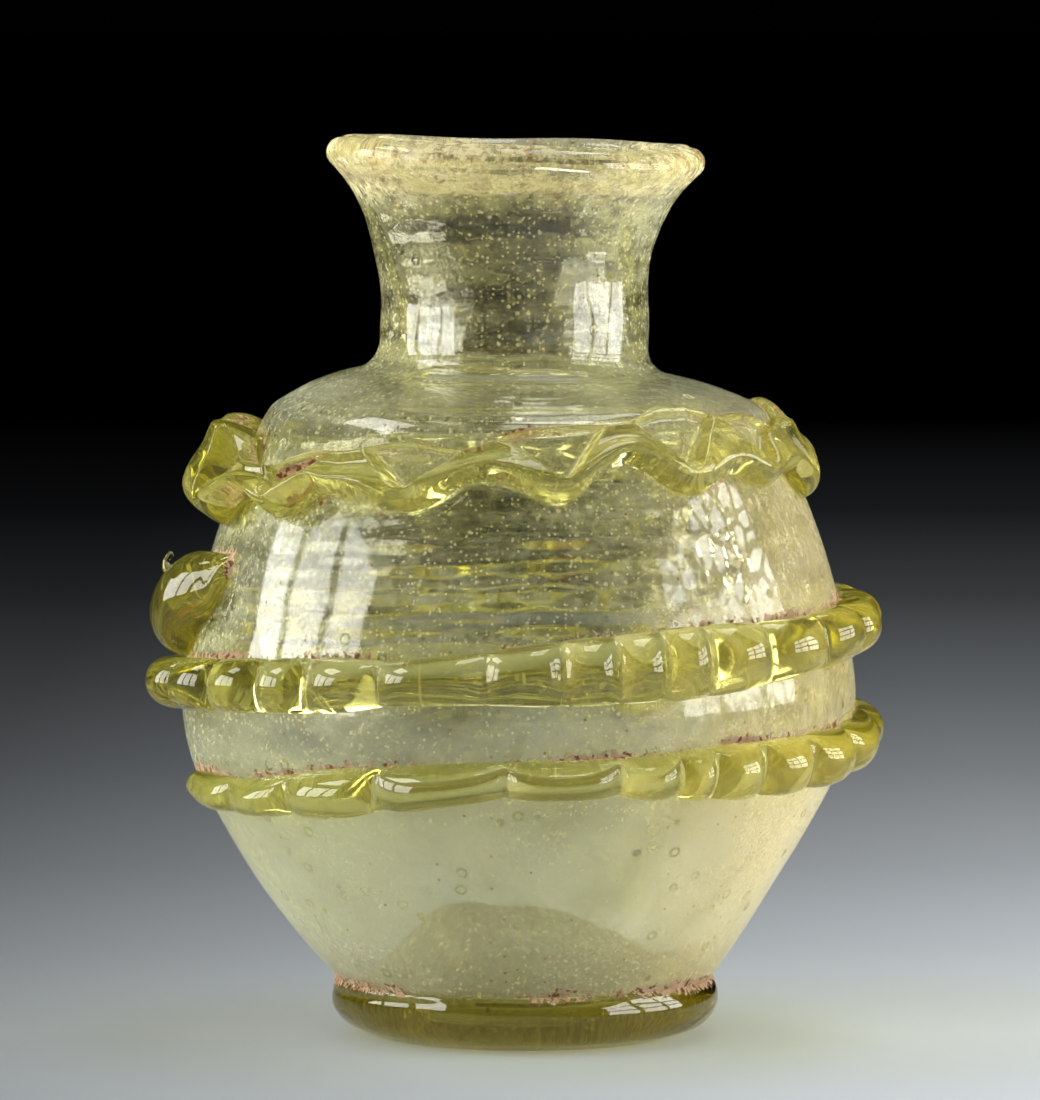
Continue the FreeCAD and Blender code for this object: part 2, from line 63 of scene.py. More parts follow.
# Neck, flare and lip, on the neck's own leaning axis
NECK_BASE = 74.0
NECK_LEAN = 2.0
NECK_SHIFT = 0.7
NECK_TOP = (16.75, 90.8)
SWELL = (17.15, 96.2)
FLARE = (18.4, 101.0)
SPLAY = (20.1, 104.6)
LIP_RADIUS = 23.5
LIP_BEAD = 1.9
LIP_HEIGHT = 111.2
LEAN_HEIGHTS = (77.0, 86.0)

# How far the blower's unevenness moves the neck, the foot and the pushed-in base, and where each
# comes in or fades out, as heights or distances from the axis
NECK_DRIFT = 0.9
NECK_DRIFT_HEIGHTS = (89, 99)
FOOT_DRIFT = 0.9
FOOT_DRIFT_HEIGHTS = (4, 20)
KICK_DRIFT = 0.9
KICK_RAISE = 0.8
KICK_SWELL = 0.10
KICK_SWELL_BUMP = (10, 6)
KICK_BOTTOM = (3, 14)
KICK_TOP = (20, 24)
KICK_EDGE = (17, 20)

# Foot ring
RING_REST = 17.0
RING_REST_WIDTH = 1.6
RING_BORE = (16.4, 1.4)
RING_FOOT = (20.9, 0.8)
RING_LOW = (22.9, 1.9)
RING_BEAD = (24.3, 4.3)
RING_NECK = (24.1, 6.0)
RING_SEAT = (17.4, 3.0)
RING_SLACK = 0.05
RING_WOBBLES = [(0.30, 2, 0.5), (0.12, 5, 0), (0.06, 11, 0)]
RING_SAG = [(0.25, 3, 1)]

# Distances from the axis where the rings of the pushed-in base begin, at its tip and inside the
# jar, and the two edges of the gutter round it
KICK_TIP = 1.0
KICK_INNER = 17.6
GUTTER_IN = 17.8
GUTTER_OUT = 19.3

# The dips of the lip and the thickness of the earth round the foot's seam, as (size, waves, start)
LIP_DIPS = [(0.22, 2, 0.6), (0.12, 5, 2.0)]
LIP_DIP_HEIGHTS = (100, 110)
FOOT_SEAM = 0.86
FOOT_SEAM_WAVES = [(0.22, 2, 0.3 + math.pi / 2), (0.08, 7, 0)]

# Pontil scar: radii of the rings of its broken edge and of its back, and how deep each stands
# below the base. The ones of no depth are sunk into it
SCAR_EDGE = [(4.25, 0.0), (4.4, 0.75), (5.0, 1.12), (5.8, 1.2), (6.6, 0.95), (7.1, 0.55), (7.35, 0.0)]
SCAR_BACK = [(6.2, 0.0), (5.3, 0.0)]
SCAR_JAG = 0.55

# The thin end of the belly trail: its route, point by point, and its radii
TIP_ROUTE = [(-42.3, -3.0, 57.3), (-43.6, -3.1, 58.4), (-43.8, -3.1, 59.2), (-43.3, -3.0, 60.0),
             (-42.9, -3.0, 60.4)]
TIP_RADII = [1.1, 0.62, 0.42, 0.38, 0.40]

# Trails
SINK = 0.25
WAVE_HIGH = 76.2
WAVE_LOW = 67.0
WAVE_TILT = 2.3
WAVE_SWING = 3.4
WAVE_SCALLOP = 0.6
WAVE_SWAY = 2.0
WAVE_CLEAR = 0.4
WAVE_ROPE = 4.9
WAVE_ROPE_SIDE = 1.5
WAVE_WEB = 3.1
WAVE_WEB_SIDE = 0.5
LEFT_LOOPS = (0.48, 0.09)
LEFT_LOOPS_RISE = 2.2
POCKET_FLOOR = 0.9
COIL_TOP = 53.0
COIL_DROP = 21.8
COIL_WIDTH = 6.6
COIL_PINCH = 2.2
COIL_LOBE = 4.9
DROP_WIDTH = 11.0
DROP_HEIGHT = 5.7
LOBE_WIDENING = 0.05
LOBE_END = 0.03
LOBE_ELSEWHERE = 0.6
LOBE_POWERS = (2.4, 0.8)
CALM_STRETCH = (0.735, 0.10)
CALM_SHARE = 0.35
CALM_LOBE = 0.72

# Troughs of the shoulder trail, in shares of a full turn from +X towards the front
WAVE_TROUGHS = [0.03, 0.09, 0.153, 0.226, 0.309, 0.386, 0.447,
                0.517, 0.589, 0.661, 0.733, 0.806, 0.878, 0.958]

# How far that trail's top and low edges stray from an even wave, in shares of the sway
WAVE_TOP_STRAYS = [(0, -1.0), (0.045, -1.0), (0.09, -0.4), (0.14, 0.6), (0.19, 0.45), (0.225, 0.1),
                   (0.25, 0.25), (0.285, -0.55), (0.335, -0.1), (0.365, -0.4), (0.4, -1.3), (0.43, -1.1),
                   (0.475, 1.0), (0.52, 1.0), (0.6, 0), (0.92, 0), (1, -1.0)]
WAVE_LOW_STRAYS = [(0, -0.8), (0.03, -1.0), (0.06, -0.9), (0.09, 0.15), (0.125, -0.6), (0.153, 0.2),
                   (0.205, 0.8), (0.226, 0.4), (0.262, 0.3), (0.309, 0.35), (0.3475, -0.45), (0.365, 0.45),
                   (0.386, 0.1), (0.447, -0.45), (0.52, -0.5), (0.6, 0), (0.92, 0), (1, -0.8)]

# Spiral trail, in turns wound from the left, backwards round the bubble
COIL_FALL = [
    (-0.068, -0.345), (-0.06, -0.23), (-0.05, -0.165), (-0.04, -0.115), (-0.03, -0.055), (-0.015, -0.03),
    (0, -0.01), (0.033, 0.0), (0.111, 0.018), (0.25, 0.028), (0.5, 0.064), (0.6, 0.128), (0.75, 0.225),
    (0.833, 0.29), (0.917, 0.35), (1.0, 0.41), (1.25, 0.565), (1.5, 0.70), (1.6, 0.757), (1.75, 0.78),
    (1.842, 0.878), (1.885, 0.93), (1.917, 0.955), (1.95, 0.953), (2.0, 0.984)]
COIL_WIDTHS = [
    (0, 1.0), (0.5, 1.0), (0.6, 1.06), (0.664, 1.28), (0.722, 1.2), (0.772, 0.95), (0.806, 0.84),
    (0.844, 1.0), (0.939, 0.96), (1.0, 0.9), (1.111, 1.0), (1.5, 1.0), (1.556, 0.88), (1.583, 0.95),
    (1.644, 0.93), (1.694, 0.68), (1.735, 0.6), (1.778, 0.66), (1.842, 0.8), (1.872, 0.68),
    (1.9, 0.6), (1.93, 0.6), (1.955, 0.55), (1.98, 0.42), (2.0, 0.16)]
COIL_DROPS = [(-0.068, -1.14), (-0.06, -0.18), (-0.05, 0.41), (-0.04, 0.86), (-0.03, 1.32),
              (-0.015, 1.23), (0, 0.86), (0.033, 0.27), (0.1, 0.0)]
COIL_LIFTS = [(-0.068, 0.12), (-0.06, 0.55), (-0.045, 0.9), (-0.03, 1.0), (1.42, 1.0), (1.52, 0.84),
              (1.6, 1.0), (1.806, 1.0), (1.889, 0.8), (1.944, 0.62), (1.985, 0.5), (2.0, 0.2)]
COIL_LOBES = ([0.0722 + 0.0347 * i for i in range(13)]
              + [0.528, 0.564, 0.603, 0.647, 0.672, 0.692, 0.719, 0.742, 0.786,
                 0.839, 0.858, 0.897, 0.928, 0.975]
              + [1.011 + 0.0361 * i for i in range(14)]
              + [1.531, 1.583, 1.611, 1.65, 1.667, 1.683, 1.725, 1.786, 1.844, 1.889, 1.933])


def arc(a, middle, b, count):
    """Points of the arc from a to b through a middle point, without its first point."""
    ux, uy, radius = circle_through(a, middle, b)
    first, half, last = (math.atan2(p[1] - uy, p[0] - ux) for p in (a, middle, b))
    span = (last - first) % math.tau
    if (half - first) % math.tau > span:
        span -= math.tau
    turns = [first + span * i / count for i in range(1, count + 1)]
    return [(ux + radius * math.cos(turn), uy + radius * math.sin(turn)) for turn in turns]


def circle_through(a, b, c):
    """Centre and radius of the circle through three points."""
    ax, ay, bx, by, cx, cy = *a, *b, *c
    d = 2 * (ax * (by - cy) + bx * (cy - ay) + cx * (ay - by))
    square_a, square_b, square_c = (p[0] ** 2 + p[1] ** 2 for p in (a, b, c))
    ux = (square_a * (by - cy) + square_b * (cy - ay) + square_c * (ay - by)) / d
    uy = (square_a * (cx - bx) + square_b * (ax - cx) + square_c * (bx - ax)) / d
    return ux, uy, math.hypot(ax - ux, ay - uy)


def line(a, b, count):
    """Points of the straight stretch from a to b, without its first point."""
    return [(a[0] + (b[0] - a[0]) * i / count, a[1] + (b[1] - a[1]) * i / count) for i in range(1, count + 1)]


def smooth(low, high, value):
    """An eased step from 0 at low to 1 at high, for numbers or arrays."""
    t = np.clip((value - low) / (high - low), 0.0, 1.0)
    return t * t * (3 - 2 * t)


def bump(at, centre, half_width):
    """A rounded bump of height one."""
    away = np.abs(at - centre) / half_width
    return np.cos(np.minimum(away, 1) * math.pi / 2) ** 2


def along_table(rows, at):
    """Values on the smooth curve through a table of (place, value) that never overshoots."""
    places, values = np.array(rows).T
    steps = np.diff(places)
    slopes = np.diff(values) / steps
    a, b = slopes[:-1], slopes[1:]
    same_way = a * b > 0
    bends = np.where(same_way, 2 * a * b / np.where(same_way, a + b, 1), 0)
    bends = np.concatenate([slopes[:1], bends, slopes[-1:]])
    i = np.clip(np.searchsorted(places, at) - 1, 0, len(places) - 2)
    share = np.clip((at - places[i]) / steps[i], 0, 1)
    rest = 1 - share
    return (values[i] * rest ** 2 * (1 + 2 * share) + values[i + 1] * share ** 2 * (3 - 2 * share)
            + steps[i] * share * rest * (bends[i] * rest - bends[i + 1] * share))


def sway(azimuth, rows):
    """A sum of waves round the axis, from rows of (size, waves to a turn, start)."""
    return sum(size * np.sin(waves * azimuth + start) for size, waves, start in rows)


RIPPLE_RADIUS = 38


def ripple(seed, count, longest, shortest, strength):
    """A soft wobble over (azimuth, height in mm), the same each run. It returns millimetres."""
    draw = random.Random(seed)
    waves = []
    for i in range(count):
        length = longest * (shortest / longest) ** (i / max(1, count - 1))
        across = draw.uniform(-1, 1) * 2 * math.pi * RIPPLE_RADIUS / length
        along = draw.choice((-1, 1)) * math.tau / length * draw.uniform(0.4, 1.0)
        waves.append((round(across), along, draw.uniform(0, math.tau), strength * (length / longest) ** 1.5))

    def value(azimuth, height):
        return sum(s * np.sin(k * azimuth + m * height + p) for k, m, p, s in waves)
    return value


OUTER_RIPPLE = ripple(seed=3, count=26, longest=60.0, shortest=5.0, strength=0.10)
INNER_RIPPLE = ripple(seed=8, count=30, longest=45.0, shortest=4.0, strength=0.16)
CORD_RIPPLE = ripple(seed=21, count=10, longest=14.0, shortest=3.0, strength=0.05)
RIPPLE_HEIGHTS = (6, 14)

WALL_ARCS = [(WAIST[1], circle_through(LOW, BELLY, WAIST)),
             (SHOULDER[1], circle_through(WAIST, HIGH, SHOULDER)),
             (SLOPE[1], circle_through(SHOULDER, TURN, SLOPE))]


def wall_at(height, lift):
    """Radius and height of points that stand off the bubble's wall by a lift, as arrays."""
    height = np.asarray(height, float)
    cx, cy, radius = (np.full(height.shape, value) for value in circle_through(JOIN, UNDER, LOW))
    for floor, (_, circle) in zip((LOW[1], WAIST[1], SHOULDER[1]), WALL_ARCS):
        above = height > floor
        cx, cy, radius = (np.where(above, new, old) for new, old in zip(circle, (cx, cy, radius)))
    along = np.clip((height - cy) / radius, -1, 1)
    return cx + np.sqrt(1 - along ** 2) * (radius + lift), cy + along * (radius + lift)


def lean(points):
    """The blower's unevenness: the neck eases over to its own leaning axis above the shoulder, its
    flare strays to the left, the foot to the right, and the pushed-in base to the left, up and out.
    Points are (n, 3) in mm."""
    turn = math.radians(NECK_LEAN)
    up = points[:, 2] - NECK_BASE
    leaning = np.stack([-NECK_SHIFT + points[:, 0] * math.cos(turn) + up * math.sin(turn),
                        points[:, 1],
                        NECK_BASE - points[:, 0] * math.sin(turn) + up * math.cos(turn)], axis=1)
    z = points[:, 2]
    weight = smooth(*LEAN_HEIGHTS, z)[:, None]
    eased = points * (1 - weight) + leaning * weight
    eased[:, 0] += FOOT_DRIFT * (1 - smooth(*FOOT_DRIFT_HEIGHTS, z))
    eased[:, 0] -= NECK_DRIFT * smooth(*NECK_DRIFT_HEIGHTS, z)
    kick = smooth(*KICK_BOTTOM, z) * (1 - smooth(*KICK_TOP, z))
    kick *= 1 - smooth(*KICK_EDGE, np.hypot(points[:, 0], points[:, 1]))
    eased[:, :2] *= 1 + KICK_SWELL * (kick * bump(z, *KICK_SWELL_BUMP))[:, None]
    eased[:, 0] -= KICK_DRIFT * kick
    eased[:, 2] += KICK_RAISE * kick
    return eased


def holds_volume(points, faces):
    """The signed volume inside a closed mesh, positive where its faces look outwards."""
    total = 0.0
    p = np.asarray(points, float)
    for corners in sorted({len(f) for f in faces}):
        group = p[[f for f in faces if len(f) == corners]]
        for k in range(1, corners - 1):
            total += np.einsum("ij,ij->", group[:, 0], np.cross(group[:, k], group[:, k + 1])) / 6
    return total


def make_mesh(name, points, faces, material, marks=None):
    """A shaded-smooth object from points in mm. marks are named numbers on its points."""
    if holds_volume(points, faces) < 0:
        faces = [tuple(f)[::-1] for f in faces]
    mesh = bpy.data.meshes.new(name)
    mesh.from_pydata((np.asarray(points) * MM).tolist(), [], [tuple(f) for f in faces])
    mesh.polygons.foreach_set("use_smooth", [True] * len(mesh.polygons))
    for title, values in (marks or {}).items():
        layer = mesh.attributes.new(title, "FLOAT", "POINT")
        layer.data.foreach_set("value", np.asarray(values, dtype=np.float32).ravel())
    mesh.materials.append(material)
    mesh.update()
    piece = bpy.data.objects.new(name, mesh)
    bpy.context.scene.collection.objects.link(piece)
    return piece


def ring_faces(rows, around, closed_rows):
    """Quads of a tube of rows x around points. closed_rows joins the last row to the first."""
    faces = []
    for i in range(rows if closed_rows else rows - 1):
        a = i * around
        b = ((i + 1) % rows) * around
        faces += [(a + j, a + (j + 1) % around, b + (j + 1) % around, b + j) for j in range(around)]
    return faces


# Spiral trail

def coil_level(turn):
    """Height of the spiral trail's middle above the foot."""
    return COIL_TOP - COIL_DROP * along_table(COIL_FALL, turn)


def coil_half_width(turn):
    """Half the spiral trail's width, a little wider at a lobe than at a crease."""
    drop = along_table(COIL_DROPS, turn)
    width = COIL_WIDTH * along_table(COIL_WIDTHS, turn) + (DROP_WIDTH - COIL_WIDTH) * drop
    return width / 2 * (1 + LOBE_WIDENING * (coil_lobe(turn) - 0.5))


def coil_lobe(turn):
    """From 0 in the crease between two lobes to 1 on top of a lobe, with round tops."""
    lobes = np.array(COIL_LOBES)
    edges = np.concatenate([[lobes[0] - LOBE_END], (lobes[1:] + lobes[:-1]) / 2, [lobes[-1] + LOBE_END]])
    i = np.clip(np.searchsorted(edges, turn) - 1, 0, len(lobes) - 1)
    half = (edges[i + 1] - edges[i]) / 2
    away = np.clip(np.abs(turn - (edges[i + 1] + edges[i]) / 2) / half, 0, 1)
    flat, steep = LOBE_POWERS
    return np.where((turn < edges[0]) | (turn > edges[-1]), LOBE_ELSEWHERE, (1 - away ** flat) ** steep)


def coil_lift(turn):
    """Height of the spiral trail's middle over the wall."""
    drop = np.clip(along_table(COIL_DROPS, turn), 0, 1)
    # The front of the first row was pinched less than the rest
    calm = bump(turn, *CALM_STRETCH) * CALM_SHARE
    lobe = coil_lobe(turn) * (1 - calm) + calm * CALM_LOBE
    lift = COIL_PINCH + (COIL_LOBE - COIL_PINCH) * lobe
    lift = lift + (DROP_HEIGHT - lift) * drop
    return lift * along_table(COIL_LIFTS, turn)


# Shoulder trail

def wave_places(turn):
    """For turns in 0..1: distance from the nearest trough, -1 to 1 from crest to crest, and its index."""
    troughs = np.array([WAVE_TROUGHS[-1] - 1] + WAVE_TROUGHS + [WAVE_TROUGHS[0] + 1])
    i = np.clip(np.searchsorted(troughs, turn) - 1, 0, len(troughs) - 2)
    share = (turn - troughs[i]) / (troughs[i + 1] - troughs[i])
    away = np.where(share < 0.5, share * 2, (share - 1) * 2)
    return away, (i - 1 + (share >= 0.5)) % len(WAVE_TROUGHS)


def wave_edges(turn):
    """Top and low height of the shoulder trail."""
    swing = np.cos(math.pi * wave_places(turn)[0])
    tilt = WAVE_TILT * np.cos(math.tau * turn)
    top = WAVE_HIGH + tilt + WAVE_SCALLOP * swing + WAVE_SWAY * along_table(WAVE_TOP_STRAYS, turn)
    low = WAVE_LOW + tilt + WAVE_SWING * (1 - swing) / 2 + WAVE_SWAY * along_table(WAVE_LOW_STRAYS, turn)
    return np.minimum(top, SLOPE[1] - WAVE_CLEAR), low


# The pockets pressed at the troughs: half widths in shares of the way to the next crest, how far
# each leans over its depth, and which hold earth. The rest are shares of the way down the trail.
POCKET_WIDTHS = [0.62, 0.70, 0.80, 0.74, 0.66, 0.60, 0.56, 0.60, 0.72, 0.78, 0.70, 0.76, 0.68, 0.74]
POCKET_LEANS = [0.10, 0.24, -0.10, 0.16, 0.05, -0.12, -0.16, 0.05, -0.10, 0.12, -0.06, 0.10, -0.12, 0.08]
SOIL_POCKETS = {5: 1.0, 6: 0.85, 8: 0.55, 11: 0.35}
POCKET_NARROWS = (0.02, 0.86)
POCKET_POINT = 0.85
POCKET_SIDE = (0.09, 0.11)
POCKET_BRIM = (0.07, 0.15)
POCKET_END = (0.64, 0.80)
TOP_ROUNDING = 0.17
FOOT_ROUNDING = 0.26
ROPE_BEGINS = (0.34, 0.78)


def wave_pocket(turn, down):
    """How much a point lies in one of the pressed pockets, 0 to 1, and the pocket's index."""
    away, index = wave_places(turn)
    wide = np.array(POCKET_WIDTHS)[index] * (1 - smooth(*POCKET_NARROWS, down)) ** POCKET_POINT
    middle = np.array(POCKET_LEANS)[index] * (0.5 - down)
    inside = 1 - smooth(wide - POCKET_SIDE[0], wide + POCKET_SIDE[1], np.abs(away - middle))
    return inside * smooth(*POCKET_BRIM, down) * (1 - smooth(*POCKET_END, down)), index


def wave_lift(turn, down):
    """Height of the shoulder trail over the wall, which is least at the right."""
    right = np.cos(math.tau * turn)
    rope = WAVE_ROPE - WAVE_ROPE_SIDE * right
    web = WAVE_WEB - WAVE_WEB_SIDE * right + LEFT_LOOPS_RISE * bump(turn, *LEFT_LOOPS)
    pocket, _ = wave_pocket(turn, down)
    top = np.sqrt(np.clip(1 - (1 - np.minimum(down / TOP_ROUNDING, 1)) ** 2, 0, 1))
    foot = np.sqrt(np.clip(1 - np.maximum((down - 1 + FOOT_ROUNDING) / FOOT_ROUNDING, 0) ** 2, 0, 1))
    body = (web + (rope - web) * smooth(*ROPE_BEGINS, down)) * top * foot
    return body * (1 - pocket) + POCKET_FLOOR * pocket


# Points across and along the trails
BAND_BACK = 7
SHOULDER_ALONG = 760
SHOULDER_ACROSS = 46
COIL_ALONG = 1250
COIL_ACROSS = 30


def band(name, turns, rows, closed, material, marks):
    """A trail from rows of (height, lift) across its front. Its back lies sunk in the wall."""
    height, lift = rows
    count, across = height.shape
    back = BAND_BACK
    levels = np.linspace(0, 1, back + 2)[1:-1]
    back_height = height[:, -1:] + (height[:, :1] - height[:, -1:]) * levels
    all_height = np.concatenate([height, back_height], axis=1)
    all_lift = np.concatenate([lift, np.full(back_height.shape, -SINK)], axis=1)
    radius, level = wall_at(all_height, all_lift)
    azimuth = np.broadcast_to(turns[:, None] * math.tau, radius.shape)
    radius = radius + OUTER_RIPPLE(azimuth, all_height) * smooth(*RIPPLE_HEIGHTS, all_height)
    points = np.stack([radius * np.cos(azimuth), radius * np.sin(azimuth), level], axis=-1).reshape(-1, 3)
    around = across + back
    faces = ring_faces(count, around, closed)
    if not closed:
        for start in (0, (count - 1) * around):
            rim = list(range(start, start + around))
            faces.append(rim if start == 0 else rim[::-1])
    fill = np.zeros((count, back))
    all_marks = {k: np.concatenate([v, fill], axis=1) for k, v in marks.items()}
    all_marks["covered"] = all_lift < -SINK / 2
    return make_mesh(name, lean(points), faces, material, all_marks)


def spread(count, edge):
    """Places from 0 to 1 that crowd towards both ends."""
    even = np.linspace(0, 1, count)
    return even * (1 - edge) + (1 - np.cos(even * math.pi)) / 2 * edge


# Shares of the way out to the side where the trails' film thins, and turns at the first drop's edge
TRAIL_SIDES = (0.55, 0.95)
DROP_EDGE = (-0.068, -0.062)


def make_shoulder_trail(material):
    """The thick waved trail round the shoulder, with earth in some of its pockets."""
    turns = np.arange(SHOULDER_ALONG) / SHOULDER_ALONG
    turn = np.broadcast_to(turns[:, None], (SHOULDER_ALONG, SHOULDER_ACROSS))
    down = np.broadcast_to(spread(SHOULDER_ACROSS, 0.5)[None, :], turn.shape)
    top, low = wave_edges(turn)
    height = top + (low - top) * down
    lift = wave_lift(turn, down)
    lift += CORD_RIPPLE(-turn * math.tau, height) * 0.8 * np.clip(lift, 0, 1)
    lift[:, 0] = lift[:, -1] = -SINK
    pocket, index = wave_pocket(turn, down)
    dirt = np.array([SOIL_POCKETS.get(i, 0.0) for i in range(len(WAVE_TROUGHS))])[index]
    soil = np.maximum(pocket * dirt, 0.62 * (1 - smooth(0.0, 0.10, down)))
    soil = np.maximum(soil, 0.5 * smooth(0.95, 1.0, down))
    film = 0.15 - 0.08 * smooth(*TRAIL_SIDES, np.abs(np.cos(turn * math.tau)))
    marks = {"soil": soil, "pale": pocket, "film": film}
    return band("shoulder_trail_glass", -turns, (height, lift), True, material, marks)


def make_body_trail(material):
    """The long trail: its first drop at the left, then two lobed turns down round the belly."""
    start, end = COIL_FALL[0][0], COIL_FALL[-1][0]
    turns = np.linspace(start, end, COIL_ALONG)
    angle = np.linspace(0, math.pi, COIL_ACROSS)[None, :]
    level = coil_level(turns)[:, None]
    half = coil_half_width(turns)[:, None]
    height = level + half * np.cos(angle)
    turn = np.broadcast_to(turns[:, None], height.shape)
    lobe = coil_lobe(turns)[:, None]
    round_share = np.sin(angle) ** (0.62 + 0.2 * lobe)
    rise = -SINK + (coil_lift(turns)[:, None] + SINK) * round_share
    rise = rise + CORD_RIPPLE(turn * math.tau, height) * round_share
    down = np.broadcast_to(angle / math.pi, height.shape)
    crease = (1 - smooth(0.0, 0.3, lobe)) * bump(down, 0.45, 0.45)
    soil = np.maximum(0.75 * (1 - smooth(0.0, 0.16, down)), 0.5 * smooth(0.95, 1.0, down))
    soil = np.maximum(soil, 0.52 * crease)
    # The front edge of the first drop holds a line of earth
    soil = np.maximum(soil, 1.3 - 1.3 * smooth(*DROP_EDGE, turn))
    film = 0.10 - 0.04 * smooth(*TRAIL_SIDES, np.abs(np.cos(turn * math.tau)))
    marks = {"soil": soil, "film": film}
    return band("body_trail_glass", 0.5 - turns, (height, rise), False, material, marks)


# Bubble, neck and lip

def wall_points():
    """The outer outline from the cone above the foot up to the lip's under side."""
    bead_centre = LIP_RADIUS - LIP_BEAD
    under_bead = (bead_centre + LIP_BEAD * 0.62, LIP_HEIGHT - LIP_BEAD - LIP_BEAD * 0.78)
    points = [JOIN]
    points += arc(JOIN, UNDER, LOW, 38)
    points += arc(LOW, BELLY, WAIST, 16)
    points += arc(WAIST, HIGH, SHOULDER, 46)
    points += arc(SHOULDER, TURN, SLOPE, 9)
    points += arc(SLOPE, SLOPE_MID, COVE_OUT, 13)
    points += arc(COVE_OUT, COVE_MID, COVE_IN, 9)
    points += line(COVE_IN, NECK_TOP, 7)
    points += arc(NECK_TOP, SWELL, FLARE, 16)
    points += arc(FLARE, SPLAY, under_bead, 14)
    return points


def normals_of(points):
    """Unit directions to the right of an upward outline, which is outwards."""
    p = np.array(points)
    step = np.gradient(p, axis=0)
    step /= np.linalg.norm(step, axis=1)[:, None]
    return np.stack([step[:, 1], -step[:, 0]], axis=1)


def dome_height(radius, lift=0.0):
    """Height of the pushed-in base's round dome at a distance from the axis, lifted by so much."""
    rise = KICK_HEIGHT - SEAT[1]
    sphere = (rise ** 2 + KICK_RADIUS ** 2) / (2 * rise)
    return KICK_HEIGHT - sphere + math.sqrt((sphere + lift) ** 2 - radius ** 2)


def kick_arc(radius_from, radius_to, lift, count):
    """Points along the dome from one distance to another."""
    return [(r, dome_height(r, lift)) for r in np.linspace(radius_from, radius_to, count)]


def make_vessel(material):
    """The bubble with its lip and pushed-in base, as one closed wall."""
    outer_wall = wall_points()
    inner_wall = np.array(outer_wall) - normals_of(outer_wall) * WALL
    bead_centre = LIP_RADIUS - LIP_BEAD
    bead_height = LIP_HEIGHT - LIP_BEAD
    throat = tuple(inner_wall[-1])
    floor_height = SEAT[1] + KICK_WALL
    outer = kick_arc(KICK_TIP, KICK_RADIUS, 0, 20)
    outer += line((KICK_RADIUS, SEAT[1]), SEAT, 3) + line(SEAT, JOIN, 6)[:-1]
    outer += outer_wall
    outer += arc(outer_wall[-1], (LIP_RADIUS, bead_height), (bead_centre, LIP_HEIGHT), 12)
    outer += arc((bead_centre, LIP_HEIGHT), (bead_centre - LIP_BEAD, bead_height), throat, 11)[:-1]
    inner = [tuple(p) for p in inner_wall[::-1]]
    inner += line(inner[-1], (GUTTER_OUT, floor_height), 5)
    inner += line((GUTTER_OUT, floor_height), (GUTTER_IN, floor_height), 3)
    inner += kick_arc(KICK_INNER, KICK_TIP, KICK_WALL, 20)
    profile = np.array(outer + inner)
    is_inner = np.arange(len(profile)) >= len(outer)
    around = 256
    azimuth = np.arange(around)[None, :] / around * math.tau
    radius = np.broadcast_to(profile[:, :1], (len(profile), around)).copy()
    height = np.broadcast_to(profile[:, 1:], radius.shape)
    wobble = np.where(is_inner[:, None], INNER_RIPPLE(azimuth, height), OUTER_RIPPLE(azimuth, height))
    # Faint rings left by turning the bubble while it cooled, stronger inside the upper belly
    rings = 0.05 * (np.sin(height * 2.1 + 2 * np.sin(azimuth * 2 + 1)) + np.sin(height * 0.93 + azimuth))
    wobble = wobble + np.where(is_inner[:, None], rings, 0.0) * smooth(48, 54, height)
    # The wobble spares the foot and the pushed-in base, but not the narrow neck
    spared = smooth(18, 24, radius + 10 * smooth(80, 84, height))
    radius += wobble * smooth(*RIPPLE_HEIGHTS, height) * spared
    level = height + sway(azimuth, LIP_DIPS) * smooth(*LIP_DIP_HEIGHTS, height)
    points = np.stack([radius * np.cos(azimuth), radius * np.sin(azimuth), level], axis=-1).reshape(-1, 3)
    faces = ring_faces(len(profile), around, False)
    first, last = len(points), len(points) + 1
    tail = (len(profile) - 1) * around
    faces += [(first, (j + 1) % around, j) for j in range(around)]
    faces += [(last, tail + j, tail + (j + 1) % around) for j in range(around)]
    middle = [[0, 0, KICK_HEIGHT], [0, 0, KICK_HEIGHT + KICK_WALL]]
    points = lean(np.concatenate([points, middle]))
    inside = np.concatenate([np.repeat(is_inner, around), [False, True]])
    return make_mesh("vessel_glass_body", points, faces, material, vessel_marks(points, inside))


